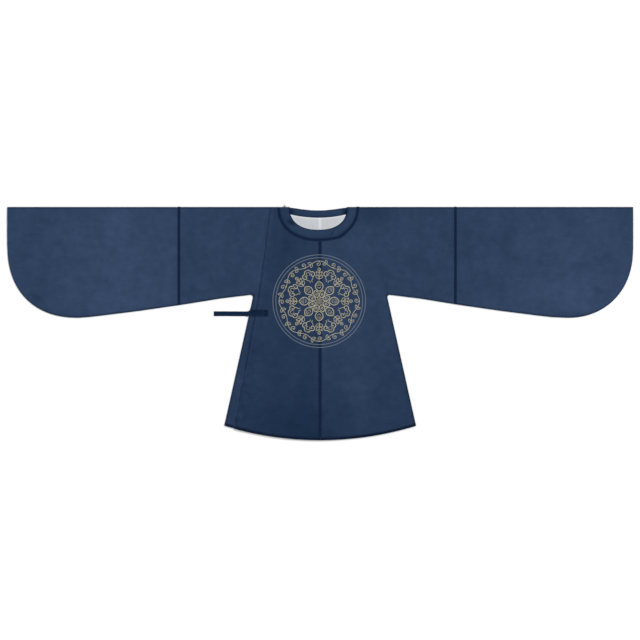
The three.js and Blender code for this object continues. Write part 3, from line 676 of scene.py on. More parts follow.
def overlap_tone(x, y):
    """Tone of the overlap, with painted shade along its free edge, in its stitch groove and at its hem
    turn, a painted highlight on the ridge inside the edge, and painted light and shade on its puckers.
    """
    inside = flap_edge(y) + x
    edge = 1 - np.interp(-y, *EDGE_SHADE_STRENGTH.T) * bell(inside, 0, EDGE_SHADE_WIDTH)
    groove_shade = 1 - GROOVE_SHADE * bell(inside, STITCH_LINE, GROOVE_SHADE_WIDTH)
    # turn gathers the painted shade at the hem turn, the ridge's painted highlight and the puckers'
    # painted light and shade.
    turn = 1 - TURN_SHADE * bell(inside, HEM_TURN, TURN_SHADE_WIDTH)
    turn += np.interp(-y, *EDGE_RIDGE_HIGHLIGHT.T) * bell(inside, RIDGE_HIGHLIGHT_PLACE, RIDGE_HIGHLIGHT_WIDTH)
    for middle, place, long, wide, high in PUCKERS:
        for out, change in PUCKER_LIGHT_AND_SHADE:
            side = bell(y, middle + out * long, PUCKER_SHADE_LONG * long)
            turn += change * high * side * bell(inside, place + out * wide, PUCKER_SHADE_WIDE * wide)
    return OVERLAP_TONE * tone_and_light_patches(x, y) * edge * groove_shade * turn


edge_line = right_lines.index(OVERLAP_EDGE)
flap_column = NECK_CELLS + sum(map(line_cells, right_lines[:edge_line], right_lines[1:]))
overlap_plan = right_plan["front"][:, :flap_column + 1].copy()
overlap_plan[HEM_ROW, :, 1] -= HEM_STEP
inside = np.maximum(flap_edge(overlap_plan[..., 1]) + overlap_plan[..., 0], 0)
overlap_plan[..., 0] += edge_wander(overlap_plan[..., 1]) * np.exp(-inside / WAVES_REACH)
height = height_on(overlap_top, overlap_plan)
shell = Shell()
shell.stitch(shell.lay(overlap_plan, height, height - WALL))
front_overlap = shell.mesh("front_overlap_cloth", navy, overlap_tone)
dress(front_overlap, "navy_cloth", "front_overlap")


def node_group(name, inputs):
    """A Geometry Nodes tree with named inputs, and a short way to add and join its nodes."""
    tree = bpy.data.node_groups.new(name, "GeometryNodeTree")
    sockets = {}
    for label, kind, value in [("Path", "Geometry", None), *inputs]:
        socket = tree.interface.new_socket(label, in_out="INPUT", socket_type="NodeSocket" + kind)
        if isinstance(value, float):
            socket.default_value = value
        sockets[label] = socket.identifier
    tree.interface.new_socket("Geometry", in_out="OUTPUT", socket_type="NodeSocketGeometry")

    def node(kind, settings=None, **inputs):
        new = tree.nodes.new(kind)
        for key, value in (settings or {}).items():
            setattr(new, key, value)
        for key, value in inputs.items():
            target = new.inputs[key.replace("_", " ")]
            if isinstance(value, bpy.types.NodeSocket):
                tree.links.new(value, target)
            else:
                target.default_value = value
        return new

    return tree, sockets, node


def grown(name, tree, sockets, vertices, edges, values):
    """Runs a tree on points in millimetres and keeps its result as a plain mesh object."""
    mesh = bpy.data.meshes.new(name)
    mesh.from_pydata(in_metres(vertices), np.asarray(edges).tolist(), [])
    piece = bpy.data.objects.new(name, mesh)
    bpy.context.collection.objects.link(piece)
    modifier = piece.modifiers.new(tree.name, "NODES")
    modifier.node_group = tree
    for label, value in values.items():
        modifier[sockets[label]] = value
    graph = bpy.context.evaluated_depsgraph_get()
    made = bpy.data.meshes.new_from_object(piece.evaluated_get(graph))
    piece.modifiers.clear()
    piece.data = made
    return piece


def polylines(lines):
    """Vertices and edges of several open lines."""
    starts = np.cumsum([0, *map(len, lines)])
    edges = [(start + k, start + k + 1) for start, line in zip(starts, lines)
             for k in range(len(line) - 1)]
    return np.vstack(lines), edges


def bead_tree(name, sizes, long, segments, rings, placed):
    """A tree that lays a bead of thread at each of its points, as long as one of its inputs."""
    tree, sockets, node = node_group(name, [*sizes, ("Thread", "Material", None)])
    given = tree.nodes.new("NodeGroupInput").outputs
    points, turned = placed(node, given)
    bead = node("GeometryNodeMeshUVSphere", Segments=segments, Rings=rings, Radius=0.5)
    size = node("ShaderNodeCombineXYZ", X=given["Width"], Y=given["Width"], Z=given[long])
    laid = node("GeometryNodeInstanceOnPoints", Points=points.outputs[0],
                Instance=bead.outputs["Mesh"], Scale=size.outputs[0], **turned)
    real = node("GeometryNodeRealizeInstances", Geometry=laid.outputs[0])
    smooth = node("GeometryNodeSetShadeSmooth", Geometry=real.outputs[0])
    finish = node("GeometryNodeSetMaterial", Geometry=smooth.outputs[0], Material=given["Thread"])
    tree.links.new(finish.outputs[0], tree.nodes.new("NodeGroupOutput").inputs[0])
    return tree, sockets


def along_path(node, given):
    """Points at equal steps along a path, turned to it."""
    curve = node("GeometryNodeMeshToCurve", Mesh=given["Path"])
    points = node("GeometryNodeCurveToPoints", {"mode": "LENGTH"}, Curve=curve.outputs[0],
                  Length=given["Spacing"])
    return points, {"Rotation": points.outputs["Rotation"]}


def sewing_thread(name, colour):
    """Twisted sewing thread: fine oblique plies across a matte colour, drawn as bands of painted
    shade.
    """
    finish = Finish(name, Roughness=0.7)
    plies = finish.node("TexWave", finish.place(), 1400.0, 0.0, 0.0, wave_type="BANDS",
                        bands_direction="DIAGONAL")
    finish.link(finish.scaled(colour, finish.around_one(plies.outputs["Fac"], 0.2)), "Base Color")
    return finish.material


running, running_inputs = bead_tree("running stitches", [
    ("Spacing", "Float", 0.004), ("Length", "Float", 0.003), ("Width", "Float", 0.0007)],
    "Length", segments=6, rings=5, placed=along_path)
navy_thread = sewing_thread("navy thread", (0.030, 0.052, 0.098))


def run_stitches(name, lines, thread, slot, spacing, length, width):
    """Rows of stitches along lines on the cloth, in millimetres."""
    values = {"Spacing": spacing * MM, "Length": length * MM, "Width": width * MM, "Thread": thread}
    piece = grown(name, running, running_inputs, *polylines(lines), values)
    dress(piece, slot)
    return piece


STITCHES_FROM, STITCHES_ABOVE_HEM, THREAD_LIFT = -8.0, 2.0, 0.1
LINE_STEP = 4.0


def on_overlap(x, y):
    """Points of a thread that lies on the overlap."""
    return np.stack([x, y, overlap_top(x, y) + THREAD_LIFT], -1)


y = np.arange(STITCHES_FROM, float(hem_y(OVERLAP_EDGE[2])) + STITCHES_ABOVE_HEM, -LINE_STEP)
flap_line = on_overlap(STITCH_LINE - flap_edge(y), y)
flap_stitches = run_stitches("flap_stitches", [flap_line], navy_thread, "navy_cloth",
                             spacing=4.2, length=3.0, width=0.8)


# Sleeves. Each is a flat tube of the same cloth, seamed to the sleeve root, closed along its
# lower side round a wide curved corner, and open at a narrow cuff.
CORNER_CELLS = 36


def sleeve_plan(half):
    """Plan grid of a sleeve, the same for its front and its back, and its closed edge."""
    sign, lowest = half["sign"], half["lowest"]
    start = half["seam"] + SEAM_GAP
    straight = np.linspace(start, lowest, round((lowest - start) / CELL) + 1)
    turn = np.linspace(0, math.pi / 2, CORNER_CELLS + 1)[1:]
    corner = lowest + (HALF_SPAN - lowest) * np.sin(turn) ** (2 / half["roundness"])
    far = np.concatenate([straight, corner])
    edge, outward = inset(plan_points(sign * far, -sleeve_depth(half, far)), sign)
    for end in (0, -1):
        outward[end] = (0, -1)
        edge[end] = (sign * far[end], EDGE_RADIUS - sleeve_depth(half, far[end]))
    grid = between(plan_points(sign * far, -EDGE_RADIUS), edge, CHEST_ROWS)
    row, column = np.full(len(far), CHEST_ROWS), np.arange(len(far))
    return {"front": grid, "back": grid, "seam": (row, column, edge, outward), "fold_from": 0}


for name, half, width, length, area in (("left", LEFT, 0.568, 0.711, 0.3695),
                                        ("right", RIGHT, 0.549, 0.707, 0.3566)):
    sleeve = folded_cloth(f"sleeve_{name}_cloth", navy, sleeve_plan(half), front_top, body_tone)
    dress(sleeve, "navy_cloth", f"sleeve_{name}")


# Collar band. One strip of the cloth runs round the neck: in front on top, over the left
# shoulder, along the back, and over the right shoulder to an end that its front covers.
NECK_EDGE = {"half": 91.5, "front": 72.9, "back": 11.0}
EDGE_SHAPE = {"front": {"roundness": 2.3}, "back": {"roundness": 2.0, "fall": 2.8}}
BAND_ACROSS = np.concatenate([[0, 0.03], np.linspace(0.08, 0.9, 15), [0.955, 1.0]])
BAND_CROWN = 0.5
# Tone across the band, from its seam to its inner edge, with painted shade darkening both rims
# where the band curves down.
BAND_TONE_AND_SHADE = np.array([(0, 0.55), (0.07, 0.6), (0.15, 0.74), (0.3, 0.84), (0.55, 0.92), (0.8, 0.9),
                      (0.9, 0.8), (0.95, 0.42), (1, 0.35)])
# Painted shade and painted light of the band as it lies: x, y, turn, half length, half width, change.
BAND_PAINTED_SHADE = [(-92, -49, -30, 17, 8, -0.60), (39, -83, 53, 10, 1.8, -0.60), (45, -86, 53, 8, 3, 0.12),
               (-91, -16, 0, 8, 13, -0.55), (80, -15, 0, 8, 13, -0.62), (-108, -12, 0, 12, 10, -0.12),
               (-40, -86, -25, 15, 4, 0.07), (104, -22, 0, 14, 20, 0.08), (20, -92, 0, 30, 4, -0.06)]
COVERED_ROWS = 16


def centre_top(x, y):
    return np.where(x < 0, overlap_top(x, y), left_top(x, y))


def band_rows(turns, side):
    """Plan points across the band at each turn, from its seam to its inner edge."""
    seam_line = front_neck if side == "front" else back_neck
    seam = seam_line(-SEAM_GAP / 2, turns, 1)[:, None]
    edge = neck_point(NECK_EDGE["half"], NECK_EDGE[side], turns, 1, **EDGE_SHAPE[side])[:, None]
    return seam + (edge - seam) * BAND_ACROSS[:, None]


# Turns from the right shoulder to the left one, in half steps of the halves' neck lines.
share = np.linspace(0, 1, 2 * NECK_CELLS + 1)
turns = np.concatenate([-neck_turns(-1, share)[::-1], neck_turns(1, share)[1:]])
front_rows, back_rows = band_rows(turns, "front"), band_rows(turns[::-1], "back")
left_end, right_end = (band_rows(np.array([turn]), "back")[0] for turn in (math.pi / 2, -math.pi / 2))
covered = front_rows[:COVERED_ROWS + 1]
crown = BAND_CROWN * (1 - (2 * BAND_ACROSS - 1) ** 4)
front_height = height_on(centre_top, front_rows) + crown
back_height = np.zeros(back_rows.shape[:2])
covered_height = height_on(front_top, covered)
shell = Shell()
rows = np.vstack([
    shell.lay(front_rows, front_height, front_height - WALL),
    fold_around(shell, left_end, UP),
    shell.lay(back_rows, back_height, back_height + WALL),
    fold_around(shell, right_end, UP, FOLD_TURNS[::-1]),
    shell.lay(covered, covered_height, covered_height - WALL),
])
shell.stitch(rows)
across = np.zeros(rows.size)
across[rows] = BAND_ACROSS


# Tone of the band, with its painted shade and light across and along it.
def band_tone(x, y):
    painted_shade = 1 + crease_field(x, y, BAND_PAINTED_SHADE)
    return painted_shade * np.tile(np.interp(across, *BAND_TONE_AND_SHADE.T), 2)


collar_band = shell.mesh("collar_band_cloth", navy, band_tone)
dress(collar_band, "navy_cloth", "collar_band")


# Back lining. Pale smooth cloth in two halves with a centre seam, seen only inside the neck,
# where it covers the back from the collar's seam down to under the front of the collar.
LINING = {"half": 95.0, "under": 10.0, "back": 34.4, "roundness": 1.85}
LINING_WALL = 1.0
LINING_COLUMNS, LINING_ROWS = 44, 36
LINING_CREASES = [(-52, -38, 70, 26, 7, 0.35, 3), (-18, -58, 96, 22, 6, 0.3, -2),
                  (24, -44, 82, 26, 7, 0.35, 3), (58, -50, 104, 24, 7, 0.3, -3)]
# Tone of the lining; then how much lighter it is along its seams and its rim, and how far. Along
# the centre seam the lighter line is a painted highlight on the seam's ridge.
LINING_TONE = 0.96
CENTRE_SEAM_HIGHLIGHT, CENTRE_REACH = 0.28, (-0.7, 4.3)
SEAM_LIGHT, SEAM_REACH = 0.26, 4.5
RIM_LIGHT, RIM_REACH = 0.24, 0.06


def lining_half(name, sign):
    end = math.asin((LINING["half"] / NECK_SEAM["half"]) ** (NECK_ROUNDNESS / 2))
    turn = np.linspace(neck_start(sign), end, LINING_COLUMNS + 1)
    high = neck_point(NECK_SEAM["half"], LINING["back"], turn, sign, LINING["roundness"])
    low = neck_point(NECK_SEAM["half"], NECK_EDGE["front"] + LINING["under"], turn, sign)
    high[0, 0] = low[0, 0] = sign * SEAM_GAP / 2
    plan = between(high, low, LINING_ROWS)
    height = WALL + SEAM_GAP + crease_field(plan[..., 0], plan[..., 1], LINING_CREASES)
    shell = Shell()
    shell.stitch(shell.lay(plan, height + LINING_WALL, height))
    return shell.mesh(name, pale, lining_tone)


def lining_tone(x, y):
    """Lighter along the centre seam, with a painted highlight on its ridge, below the collar's seam
    and beside its inner edge.
    """
    aside = np.abs(x - NECK_SHIFT)
    round_back, round_front = LINING["roundness"], EDGE_SHAPE["front"]["roundness"]
    across = np.clip(aside / NECK_SEAM["half"], 0, 1)
    below = -y - LINING["back"] * (1 - across ** round_back) ** (1 / round_back)
    inside = (aside / NECK_EDGE["half"]) ** round_front
    inside = 1 - (inside + (np.abs(y) / NECK_EDGE["front"]) ** round_front) ** (1 / round_front)
    return (LINING_TONE + CENTRE_SEAM_HIGHLIGHT * bell(x, *CENTRE_REACH, 4)
            + SEAM_LIGHT * bell(below, 0, SEAM_REACH) + RIM_LIGHT * bell(inside, 0, RIM_REACH))


pale = woven("pale lining", (0.49, 0.505, 0.53), 2200.0, clouds=0.03, slubs=0.02, roughness=0.6,
             sheen=0.0, relief=0.0001)
for name, sign, width, area in (("left", 1, 0.089, 0.0040), ("right", -1, 0.101, 0.0046)):
    lining = lining_half(f"lining_{name}_cloth", sign)
    dress(lining, "pale_lining", f"lining_{name}")


# Dark tapes. Narrow woven tapes cover the seams: down the centre front, round the collar,
# down the sleeve seams and along the front hem, each sewn down along both edges.
TAPE_WALL, TAPE_RIM = 1.0, 0.2
TAPE_THINNING = 0.4
CENTRE_TAPE, COLLAR_TAPE, SLEEVE_TAPE, HEM_TAPE = 5.0, 4.6, 4.2, 4.5
TAPE_ACROSS = np.array([-1, -0.85, -0.5, 0, 0.5, 0.85, 1])
STITCHED_LINES = (1, 5)
TAPE_TURNS = np.radians([84, 66, 48, 30, 14])
HEM_ENDS = {"centre": 0.2, "flap": 2.0, "side": 1.5}
# Painted shade on the hem tape where it wraps under: tone at the edge, how much lighter above, and
# over what height.
HEM_TAPE_SHADE = {"edge": 0.42, "lighter": 0.53, "over": 7}
dark = woven("dark tape", (0.0046, 0.0140, 0.0390), 1500.0, clouds=0.12, slubs=0.3,
             roughness=0.85, sheen=0.0, gloss=0.03)
tape_lines = []


def tape_rise(across):
    return TAPE_WALL * (1 - TAPE_THINNING * across ** 4)


def laid_tape(name, rows, top, over=None, tone=None):
    """A tape laid on the front; over gives its points round the shoulder fold, if it has any."""
    shell = Shell()
    height = height_on(top, rows) + SEAM_GAP
    outer = height + tape_rise(TAPE_ACROSS)
    numbers = shell.lay(rows, outer, height)
    if over:
        near = over(EDGE_RADIUS + SEAM_GAP)
        far = over(EDGE_RADIUS + SEAM_GAP + tape_rise(TAPE_ACROSS))
        numbers = np.vstack([shell.add(far, near), numbers])
    shell.stitch(numbers)
    piece = shell.mesh(name + "_strip", dark, tone, TAPE_RIM)
    dress(piece, "dark_tape", name)
    tape_lines.extend(raised(rows[:, k], outer[:, k]) for k in STITCHED_LINES)
    return piece


def across_path(path, half_width):
    """Plan points across a tape along its middle line."""
    along = np.gradient(path, axis=0)
    along /= np.linalg.norm(along, axis=1)[:, None]
    out = plan_points(along[:, 1], -along[:, 0])[:, None]
    return path[:, None] + out * half_width * TAPE_ACROSS[:, None]


def shoulder_turns(rows):
    """How a tape's end goes over the shoulder fold, up from the first of its rows."""
    centre = plan_points(rows[0][:, 0], -EDGE_RADIUS)
    return lambda radius: around(centre, UP, radius, TAPE_TURNS)


def line_down(x, high, low):
    return plan_points(x, np.linspace(high, low, round((high - low) / LINE_STEP) + 1))


high = -(NECK_SEAM["front"] + COLLAR_TAPE + 2 * SEAM_GAP)
low = 2 * HEM_TAPE + SEAM_GAP - BODY_LENGTH
rows = across_path(line_down(0.0, high, low), CENTRE_TAPE)
centre_tape = laid_tape("centre_tape", rows, centre_top)

offsets = -COLLAR_TAPE * TAPE_ACROSS
rows = np.stack([front_neck(out, turns[::-1], 1) for out in offsets], 1)
laid_tape("collar_tape", rows, centre_top, shoulder_turns(rows))

for name, half in (("left", LEFT), ("right", RIGHT)):
    middle = half["seam"] + SEAM_GAP / 2
    down = line_down(half["sign"] * middle, -EDGE_RADIUS, EDGE_RADIUS - sleeve_depth(half, middle))
    rows = across_path(down, SLEEVE_TAPE)
    laid_tape(f"sleeve_tape_{name}", rows, front_top, shoulder_turns(rows))


def hem_tone(x, y):
    """The hem tape wraps under the edge, and painted shade makes it darkest there."""
    up_hem = y - hem_y(np.abs(x))
    return HEM_TAPE_SHADE["edge"] + HEM_TAPE_SHADE["lighter"] * np.clip(up_hem / HEM_TAPE_SHADE["over"], 0, 1)


hem_end = SIDE_HEM - EDGE_RADIUS
flap_hem = OVERLAP_EDGE[2]
up_hem = HEM_TAPE * (1 + TAPE_ACROSS)
for name, start, end, lift, top in (
    ("hem_tape_overlap", -HEM_ENDS["centre"], HEM_ENDS["flap"] - flap_hem, 0.0, overlap_top),
    ("hem_tape_left", HEM_ENDS["centre"], hem_end, 0.0, left_top),
    ("hem_tape_side", -flap_hem - HEM_ENDS["side"], -hem_end, HEM_STEP, front_top),
):
    x = np.linspace(start, end, round(abs(end - start) / LINE_STEP) + 1)[:, None]
    laid_tape(name, plan_points(x, hem_y(np.abs(x)) + lift + up_hem), top, tone=hem_tone)

dark_thread = sewing_thread("dark thread", (0.010, 0.020, 0.050))
run_stitches("tape_stitches", tape_lines, dark_thread, "dark_tape", spacing=3.4, length=2.4,
             width=0.6)


# Tie. A flat doubled strip, box-stitched to the overlap below the chest. It lies over the
# flap's free edge and the side seam and runs out flat beside the jacket.
TIE = {"root": -166.0, "end": -340.0, "wall": 1.4, "drop": 7.0, "slope": 16.0}
TIE_ROOT = {"y": -339.0, "width": 20.2}
TIE_FREE = {"y": -341.2, "width": 15.4}
NARROWS_BEFORE, NARROWING, LIFTS_OVER = 5.0, 7.0, 20.0
# Low waves of the free end: how far, and how long.
TIE_LIFT, TIE_SWAY = (0.25, 11.0), (0.25, 34.0)
TIE_ACROSS = np.array([-1, -0.94, -0.8, -0.4, 0, 0.4, 0.8, 0.94, 1])
TIE_THINNING = 0.35
TIE_POINTS = 100
TIE_TONE = 1.12
# Painted shade along the tie's top where it lies on the jacket, and a dark band at the sewn root's
# end: the change, where it starts, and over what width.
TIE_TOP_SHADE = {"change": 0.35, "from": 2.5, "over": 4}
ROOT_END = {"change": 0.4, "from": -15, "over": 6}
BOX = {"inner": 2.2, "length": 17.0, "points": 9, "lift": 0.05}
TIE_STITCHES = (-0.78, 0.78)
TACK = {"from": -166.0, "to": -203.0, "y": -356.5, "wave": 0.4, "points": 14}
tie_low = TIE_ROOT["y"] - TIE_ROOT["width"] / 2
tie_flap = -float(flap_edge(np.array(tie_low))) - SEAM_GAP
tie_seam = -float(side_x(tie_low)) - SEAM_GAP


def ease_in_out(t):
    s = np.clip(t, 0, 1)
    return s * s * (3 - 2 * s)


def tie_rest(x):
    """Height of the tie's underside along it: on the flap, on the side strip, on the floor."""
    y = np.full(np.shape(x), TIE_ROOT["y"])
    high, long = TIE_LIFT
    flap = overlap_top(np.maximum(x, tie_flap), y) + SEAM_GAP
    strip = front_top(np.maximum(x, tie_seam + EDGE_RADIUS), y) + SEAM_GAP
    floor = high * (1 + np.sin(x / long)) * ease_in_out((tie_seam - TIE["slope"] - x) / LIFTS_OVER)
    strip = strip + (floor - strip) * ease_in_out((tie_seam - x) / TIE["slope"])
    return np.maximum(flap + (strip - flap) * ease_in_out((tie_flap - x) / TIE["drop"]), 0)


def tie_line(x, side):
    """Distance up of a line along the tie; side is -1 and 1 at its two edges."""
    narrowed = ease_in_out((tie_seam + NARROWS_BEFORE - x) / NARROWING)
    middle, width = (TIE_ROOT[key] + (TIE_FREE[key] - TIE_ROOT[key]) * narrowed
                     for key in ("y", "width"))
    far, long = TIE_SWAY
    return middle + far * np.sin((x - TIE["root"]) / long) * narrowed + side * width / 2


def tie_tone(x, y):
    """The tie has painted shade along its top where it lies on the jacket, and its sewn root is darker
    at its end.
    """
    top = ease_in_out((y - TIE_ROOT["y"] - TIE_TOP_SHADE["from"]) / TIE_TOP_SHADE["over"]) * (x > tie_seam)
    end = ease_in_out((x - TIE["root"] - ROOT_END["from"]) / ROOT_END["over"])
    return TIE_TONE - TIE_TOP_SHADE["change"] * top - ROOT_END["change"] * end


x = np.linspace(TIE["root"], TIE["end"], TIE_POINTS)
tie_plan = plan_points(x[:, None], tie_line(x[:, None], TIE_ACROSS))
height = np.broadcast_to(tie_rest(x)[:, None], tie_plan.shape[:2])
shell = Shell()
shell.stitch(shell.lay(tie_plan, height + TIE["wall"] * (1 - TIE_THINNING * TIE_ACROSS ** 8), height))
side_tie = shell.mesh("side_tie_strip", dark, tie_tone, TAPE_RIM)
dress(side_tie, "dark_tape", "side_tie")

# The root is sewn down in a box with a cross in it, and the free length along both edges.
half = TIE_ROOT["width"] / 2 - BOX["inner"]
near, far = TIE["root"] - BOX["inner"], TIE["root"] - BOX["length"]
corners = np.array([(near, half), (far, half), (far, -half), (near, -half), (near, half),
                    (far, -half), (far, half), (near, -half)]) + (0, TIE_ROOT["y"])
box_line = np.vstack([np.linspace(*ends, BOX["points"]) for ends in zip(corners, corners[1:])])
box_line = raised(box_line, tie_rest(box_line[:, 0]) + TIE["wall"] + BOX["lift"])
edge_lines = [raised(plan_points(x, tie_line(x, side)), tie_rest(x) + TIE["wall"])
              for side in TIE_STITCHES]
run_stitches("tie_stitches", [box_line, *edge_lines], dark_thread, "dark_tape", spacing=2.6,
             length=1.9, width=0.6)

# A short row below the root holds the turned edge under the tie.
x = np.linspace(TACK["from"], TACK["to"], TACK["points"])
tack = on_overlap(x, TACK["y"] + TACK["wave"] * np.sin(x))
run_stitches("tack_stitches", [tack], navy_thread, "navy_cloth", spacing=4.6, length=3.2,
             width=1.0)


# Roundel. A round embroidery on the chest over the front seam: a double ring of silver-grey
# cord round a flower, clouds and scrolls in pale gold thread, raised in satin stitch and knots.
ROUNDEL_X, ROUNDEL_Y = -3.2, -301.0
RINGS = (147.9, 138.6)
RING_WIDTH, MOTIF_WIDTH, VEIN_WIDTH = 2.3, 2.7, 1.9
STITCH_HEIGHT, POINTED_END, POINT_LENGTH = 0.7, 0.35, 1.2
THREAD_STEP, CURVE_STEPS = 2.0, 10
FINE_SHARP = 40
TAPE_SLOPE_FROM, TAPE_SLOPE = 0.6, 1.6
SECTION = np.array([(-1, -0.3), (-0.82, 0.55), (-0.35, 0.94), (0.35, 0.94), (0.82, 0.55), (1, -0.3)])


def chest_surface(x, y):
    """Height of the cloth on the chest, with the centre tape on it."""
    beyond = (np.abs(x) - CENTRE_TAPE + TAPE_SLOPE_FROM) / TAPE_SLOPE
    return centre_top(x, y) + (TAPE_WALL + SEAM_GAP) * (1 - ease_in_out(beyond))


class Embroidery:
    """Satin-stitched lines as one mesh, with the distance along each line kept for its threads."""

    def __init__(self):
        self.points, self.faces, self.along, self.count = [], [], [], 0

    def line(self, path, width, closed=False):
        """Lays a raised line along plan points given from the roundel's centre."""
        if closed:
            path = np.vstack([path, path[:1]])
        length = np.concatenate([[0], np.cumsum(np.hypot(*np.diff(path, axis=0).T))])
        count = max(3, round(length[-1] / THREAD_STEP))
        place = np.linspace(0, length[-1], count + 1)
        path = np.stack([np.interp(place, length, path[:, k]) for k in (0, 1)], -1)
        along = np.gradient(path, axis=0)
        if closed:
            along[0] = along[-1] = path[1] - path[-2]
            path, along, place = path[:-1], along[:-1], place[:-1]
        along /= np.linalg.norm(along, axis=1)[:, None]
        out = plan_points(-along[:, 1], along[:, 0])
        taper = np.ones(len(path))
        if not closed:
            reach = np.minimum(place, place[-1] - place) / (POINT_LENGTH * width)
            taper = POINTED_END + (1 - POINTED_END) * ease_out(reach)
        half = width / 2 * taper[:, None]
        plan = path[:, None] + out[:, None] * (half * SECTION[:, 0])[..., None]
        plan += (ROUNDEL_X, ROUNDEL_Y)
        rise = STITCH_HEIGHT * (0.5 + 0.5 * taper[:, None]) * SECTION[:, 1]
        self.points.append(raised(plan, height_on(chest_surface, plan) + rise).reshape(-1, 3))
        self.along.append(np.repeat(place, len(SECTION)))
        self.stitch(len(path), closed)

    def stitch(self, rings, closed):
        size, first = len(SECTION), self.count
        for ring in range(rings if closed else rings - 1):
            a, b = first + ring * size, first + (ring + 1) % rings * size
            for k in range(size):
                after = (k + 1) % size
                self.faces.append((a + k, a + after, b + after, b + k))
        if not closed:
            last = first + (rings - 1) * size
            self.faces.append(tuple(range(first + size - 1, first - 1, -1)))
            self.faces.append(tuple(range(last, last + size)))
        self.count += rings * size

    def piece(self, name, material):
        piece = mesh_object(name, np.vstack(self.points), self.faces, material, FINE_SHARP)
        keep_values(piece, "along", np.concatenate(self.along))
        return piece


def smooth_path(points, closed=False):
    """A smooth curve through a few points."""
    p = np.asarray(points, float)
    p = np.vstack([p[-1:], p, p[:2]]) if closed else np.vstack([2 * p[0] - p[1], p, 2 * p[-1] - p[-2]])
    t = np.linspace(0, 1, CURVE_STEPS, endpoint=False)[:, None]
    parts = [0.5 * (2 * b + (c - a) * t + (2 * a - 5 * b + 4 * c - d) * t ** 2
                    + (3 * b - a - 3 * c + d) * t ** 3)
             for a, b, c, d in zip(p, p[1:], p[2:], p[3:])]
    return np.vstack(parts if closed else [*parts, p[-2:-1]])


def turned_to(points, angle):
    """Turns a figure drawn with its stem along x to an angle about the roundel's centre."""
    cos, sin = math.cos(angle), math.sin(angle)
    points = np.asarray(points, float)
    return points @ np.array([[cos, sin], [-sin, cos]])


def mirrored(half_outline):
    """A closed outline from its half above the stem, from base to tip."""
    half_outline = np.asarray(half_outline, float)
    other = half_outline[::-1] * (1, -1)
    skip = 1 if half_outline[-1][1] == 0 else 0
    return np.vstack([half_outline, other[skip:]])


PETALS = 8
INNER_PETAL = [(14, 2.5), (19, 6.5), (26, 7.8), (32, 5), (36, 0)]
OUTER_PETAL = [(33, 3), (40, 10), (49, 12.5), (57, 8.5), (63, 0)]
# Veins of the petals: how far aside, and where each starts and ends.
INNER_VEINS = [(0, 18, 30), (3.6, 20, 27), (-3.6, 20, 27)]
OUTER_VEINS = [(0, 38, 45), (5.0, 41, 47), (-5.0, 41, 47)]
VEIN_SPREAD = 0.6
PETAL_KNOTS = [(50, 0), (54, 0), (58, 0), (51, 4), (51, -4), (55, 3.6), (55, -3.6), (50.5, 8),
               (50.5, -8)]
CLOUD_HALF = [(17, 0), (15, 7), (9, 10.5), (6.5, 11), (6.5, 16), (1, 20), (-6, 18), (-8, 12),
              (-4, 8), (0.5, 9.5), (-0.5, 13.5)]
CLOUD_CURL = [(10, 0), (8.5, 4), (3, 6), (0, 4.5), (-1, 1.5)]
CLOUD_TAIL = [(-8, 12), (-14, 9), (-19, 3), (-25, 4)]
CLOUD_RADIUS = 89.0
SPRAY_STEM = [(66, 0), (78, 1.2), (90, -0.8), (100, 0)]
SPRAY_LEAVES = [(72, 48), (72, -48), (83, 42), (83, -42)]
SPRAY_KNOTS = [(100, 0), (103, 0), (92, 7), (92, -7)]
LEAF, BUD = [(0, 0.6), (5, 3.6), (10, 3.2), (15, 0)], [(0, 1.5), (4, 4.5), (8, 3.4), (11, 0)]
BUD_RADIUS = 96
SCROLL_RADIUS, SCROLL_WAVE, SCROLL_WAVES = 121.5, 7.0, 8
SCROLL_CURL = {"turns": 1.25, "points": 40, "wide": 8.6, "inward": 6.9, "aside": 2.4, "ahead": 3,
               "closing": 0.8}
SCROLL_LEAF = {"lean": 44, "size": 0.85, "beside": 0.02}
SEEDS, SEED_SPREAD = 34, 1.9
GOLDEN_ANGLE = math.pi * (3 - math.sqrt(5))

gold_work, cord_work = Embroidery(), Embroidery()
circle = np.linspace(0, 2 * math.pi, 361)[:-1]
for radius in RINGS:
    cord_work.line(radius * plan_points(np.cos(circle), np.sin(circle)), RING_WIDTH, True)
knots = []
for k in range(PETALS):
    angle = 2 * math.pi * (k + 0.5) / PETALS
    beside = angle + math.pi / PETALS
    gold_work.line(turned_to(smooth_path(mirrored(INNER_PETAL), True), angle), MOTIF_WIDTH, True)
    gold_work.line(turned_to(smooth_path(mirrored(OUTER_PETAL), True), beside), MOTIF_WIDTH, True)
    for veins, heading in ((INNER_VEINS, angle), (OUTER_VEINS, beside)):
        for aside, start, end in veins:
            vein = [(start, aside * VEIN_SPREAD), (end, aside)]
            gold_work.line(turned_to(vein, heading), VEIN_WIDTH)
    # Cloud head with two inward curls, and its tail.
    for side in (1, -1):
        for figure, width in ((CLOUD_HALF, MOTIF_WIDTH), (CLOUD_CURL, VEIN_WIDTH),
                              (CLOUD_TAIL, VEIN_WIDTH)):
            figure = np.array(figure) * (1, side) + (CLOUD_RADIUS, 0)
            gold_work.line(turned_to(smooth_path(figure), angle), width)
    # Spray between two clouds: a stem with two pairs of leaves and a bud.
    gold_work.line(turned_to(smooth_path(SPRAY_STEM), beside), VEIN_WIDTH)
    for place, lean in SPRAY_LEAVES:
        leaf = turned_to(smooth_path(mirrored(LEAF), True), math.radians(lean)) + (place, 0)
        gold_work.line(turned_to(leaf, beside), VEIN_WIDTH, True)
    bud = mirrored(BUD) + (BUD_RADIUS, 0)
    gold_work.line(turned_to(smooth_path(bud, True), beside), VEIN_WIDTH, True)
    knots.extend(turned_to([*PETAL_KNOTS, *SPRAY_KNOTS], beside))


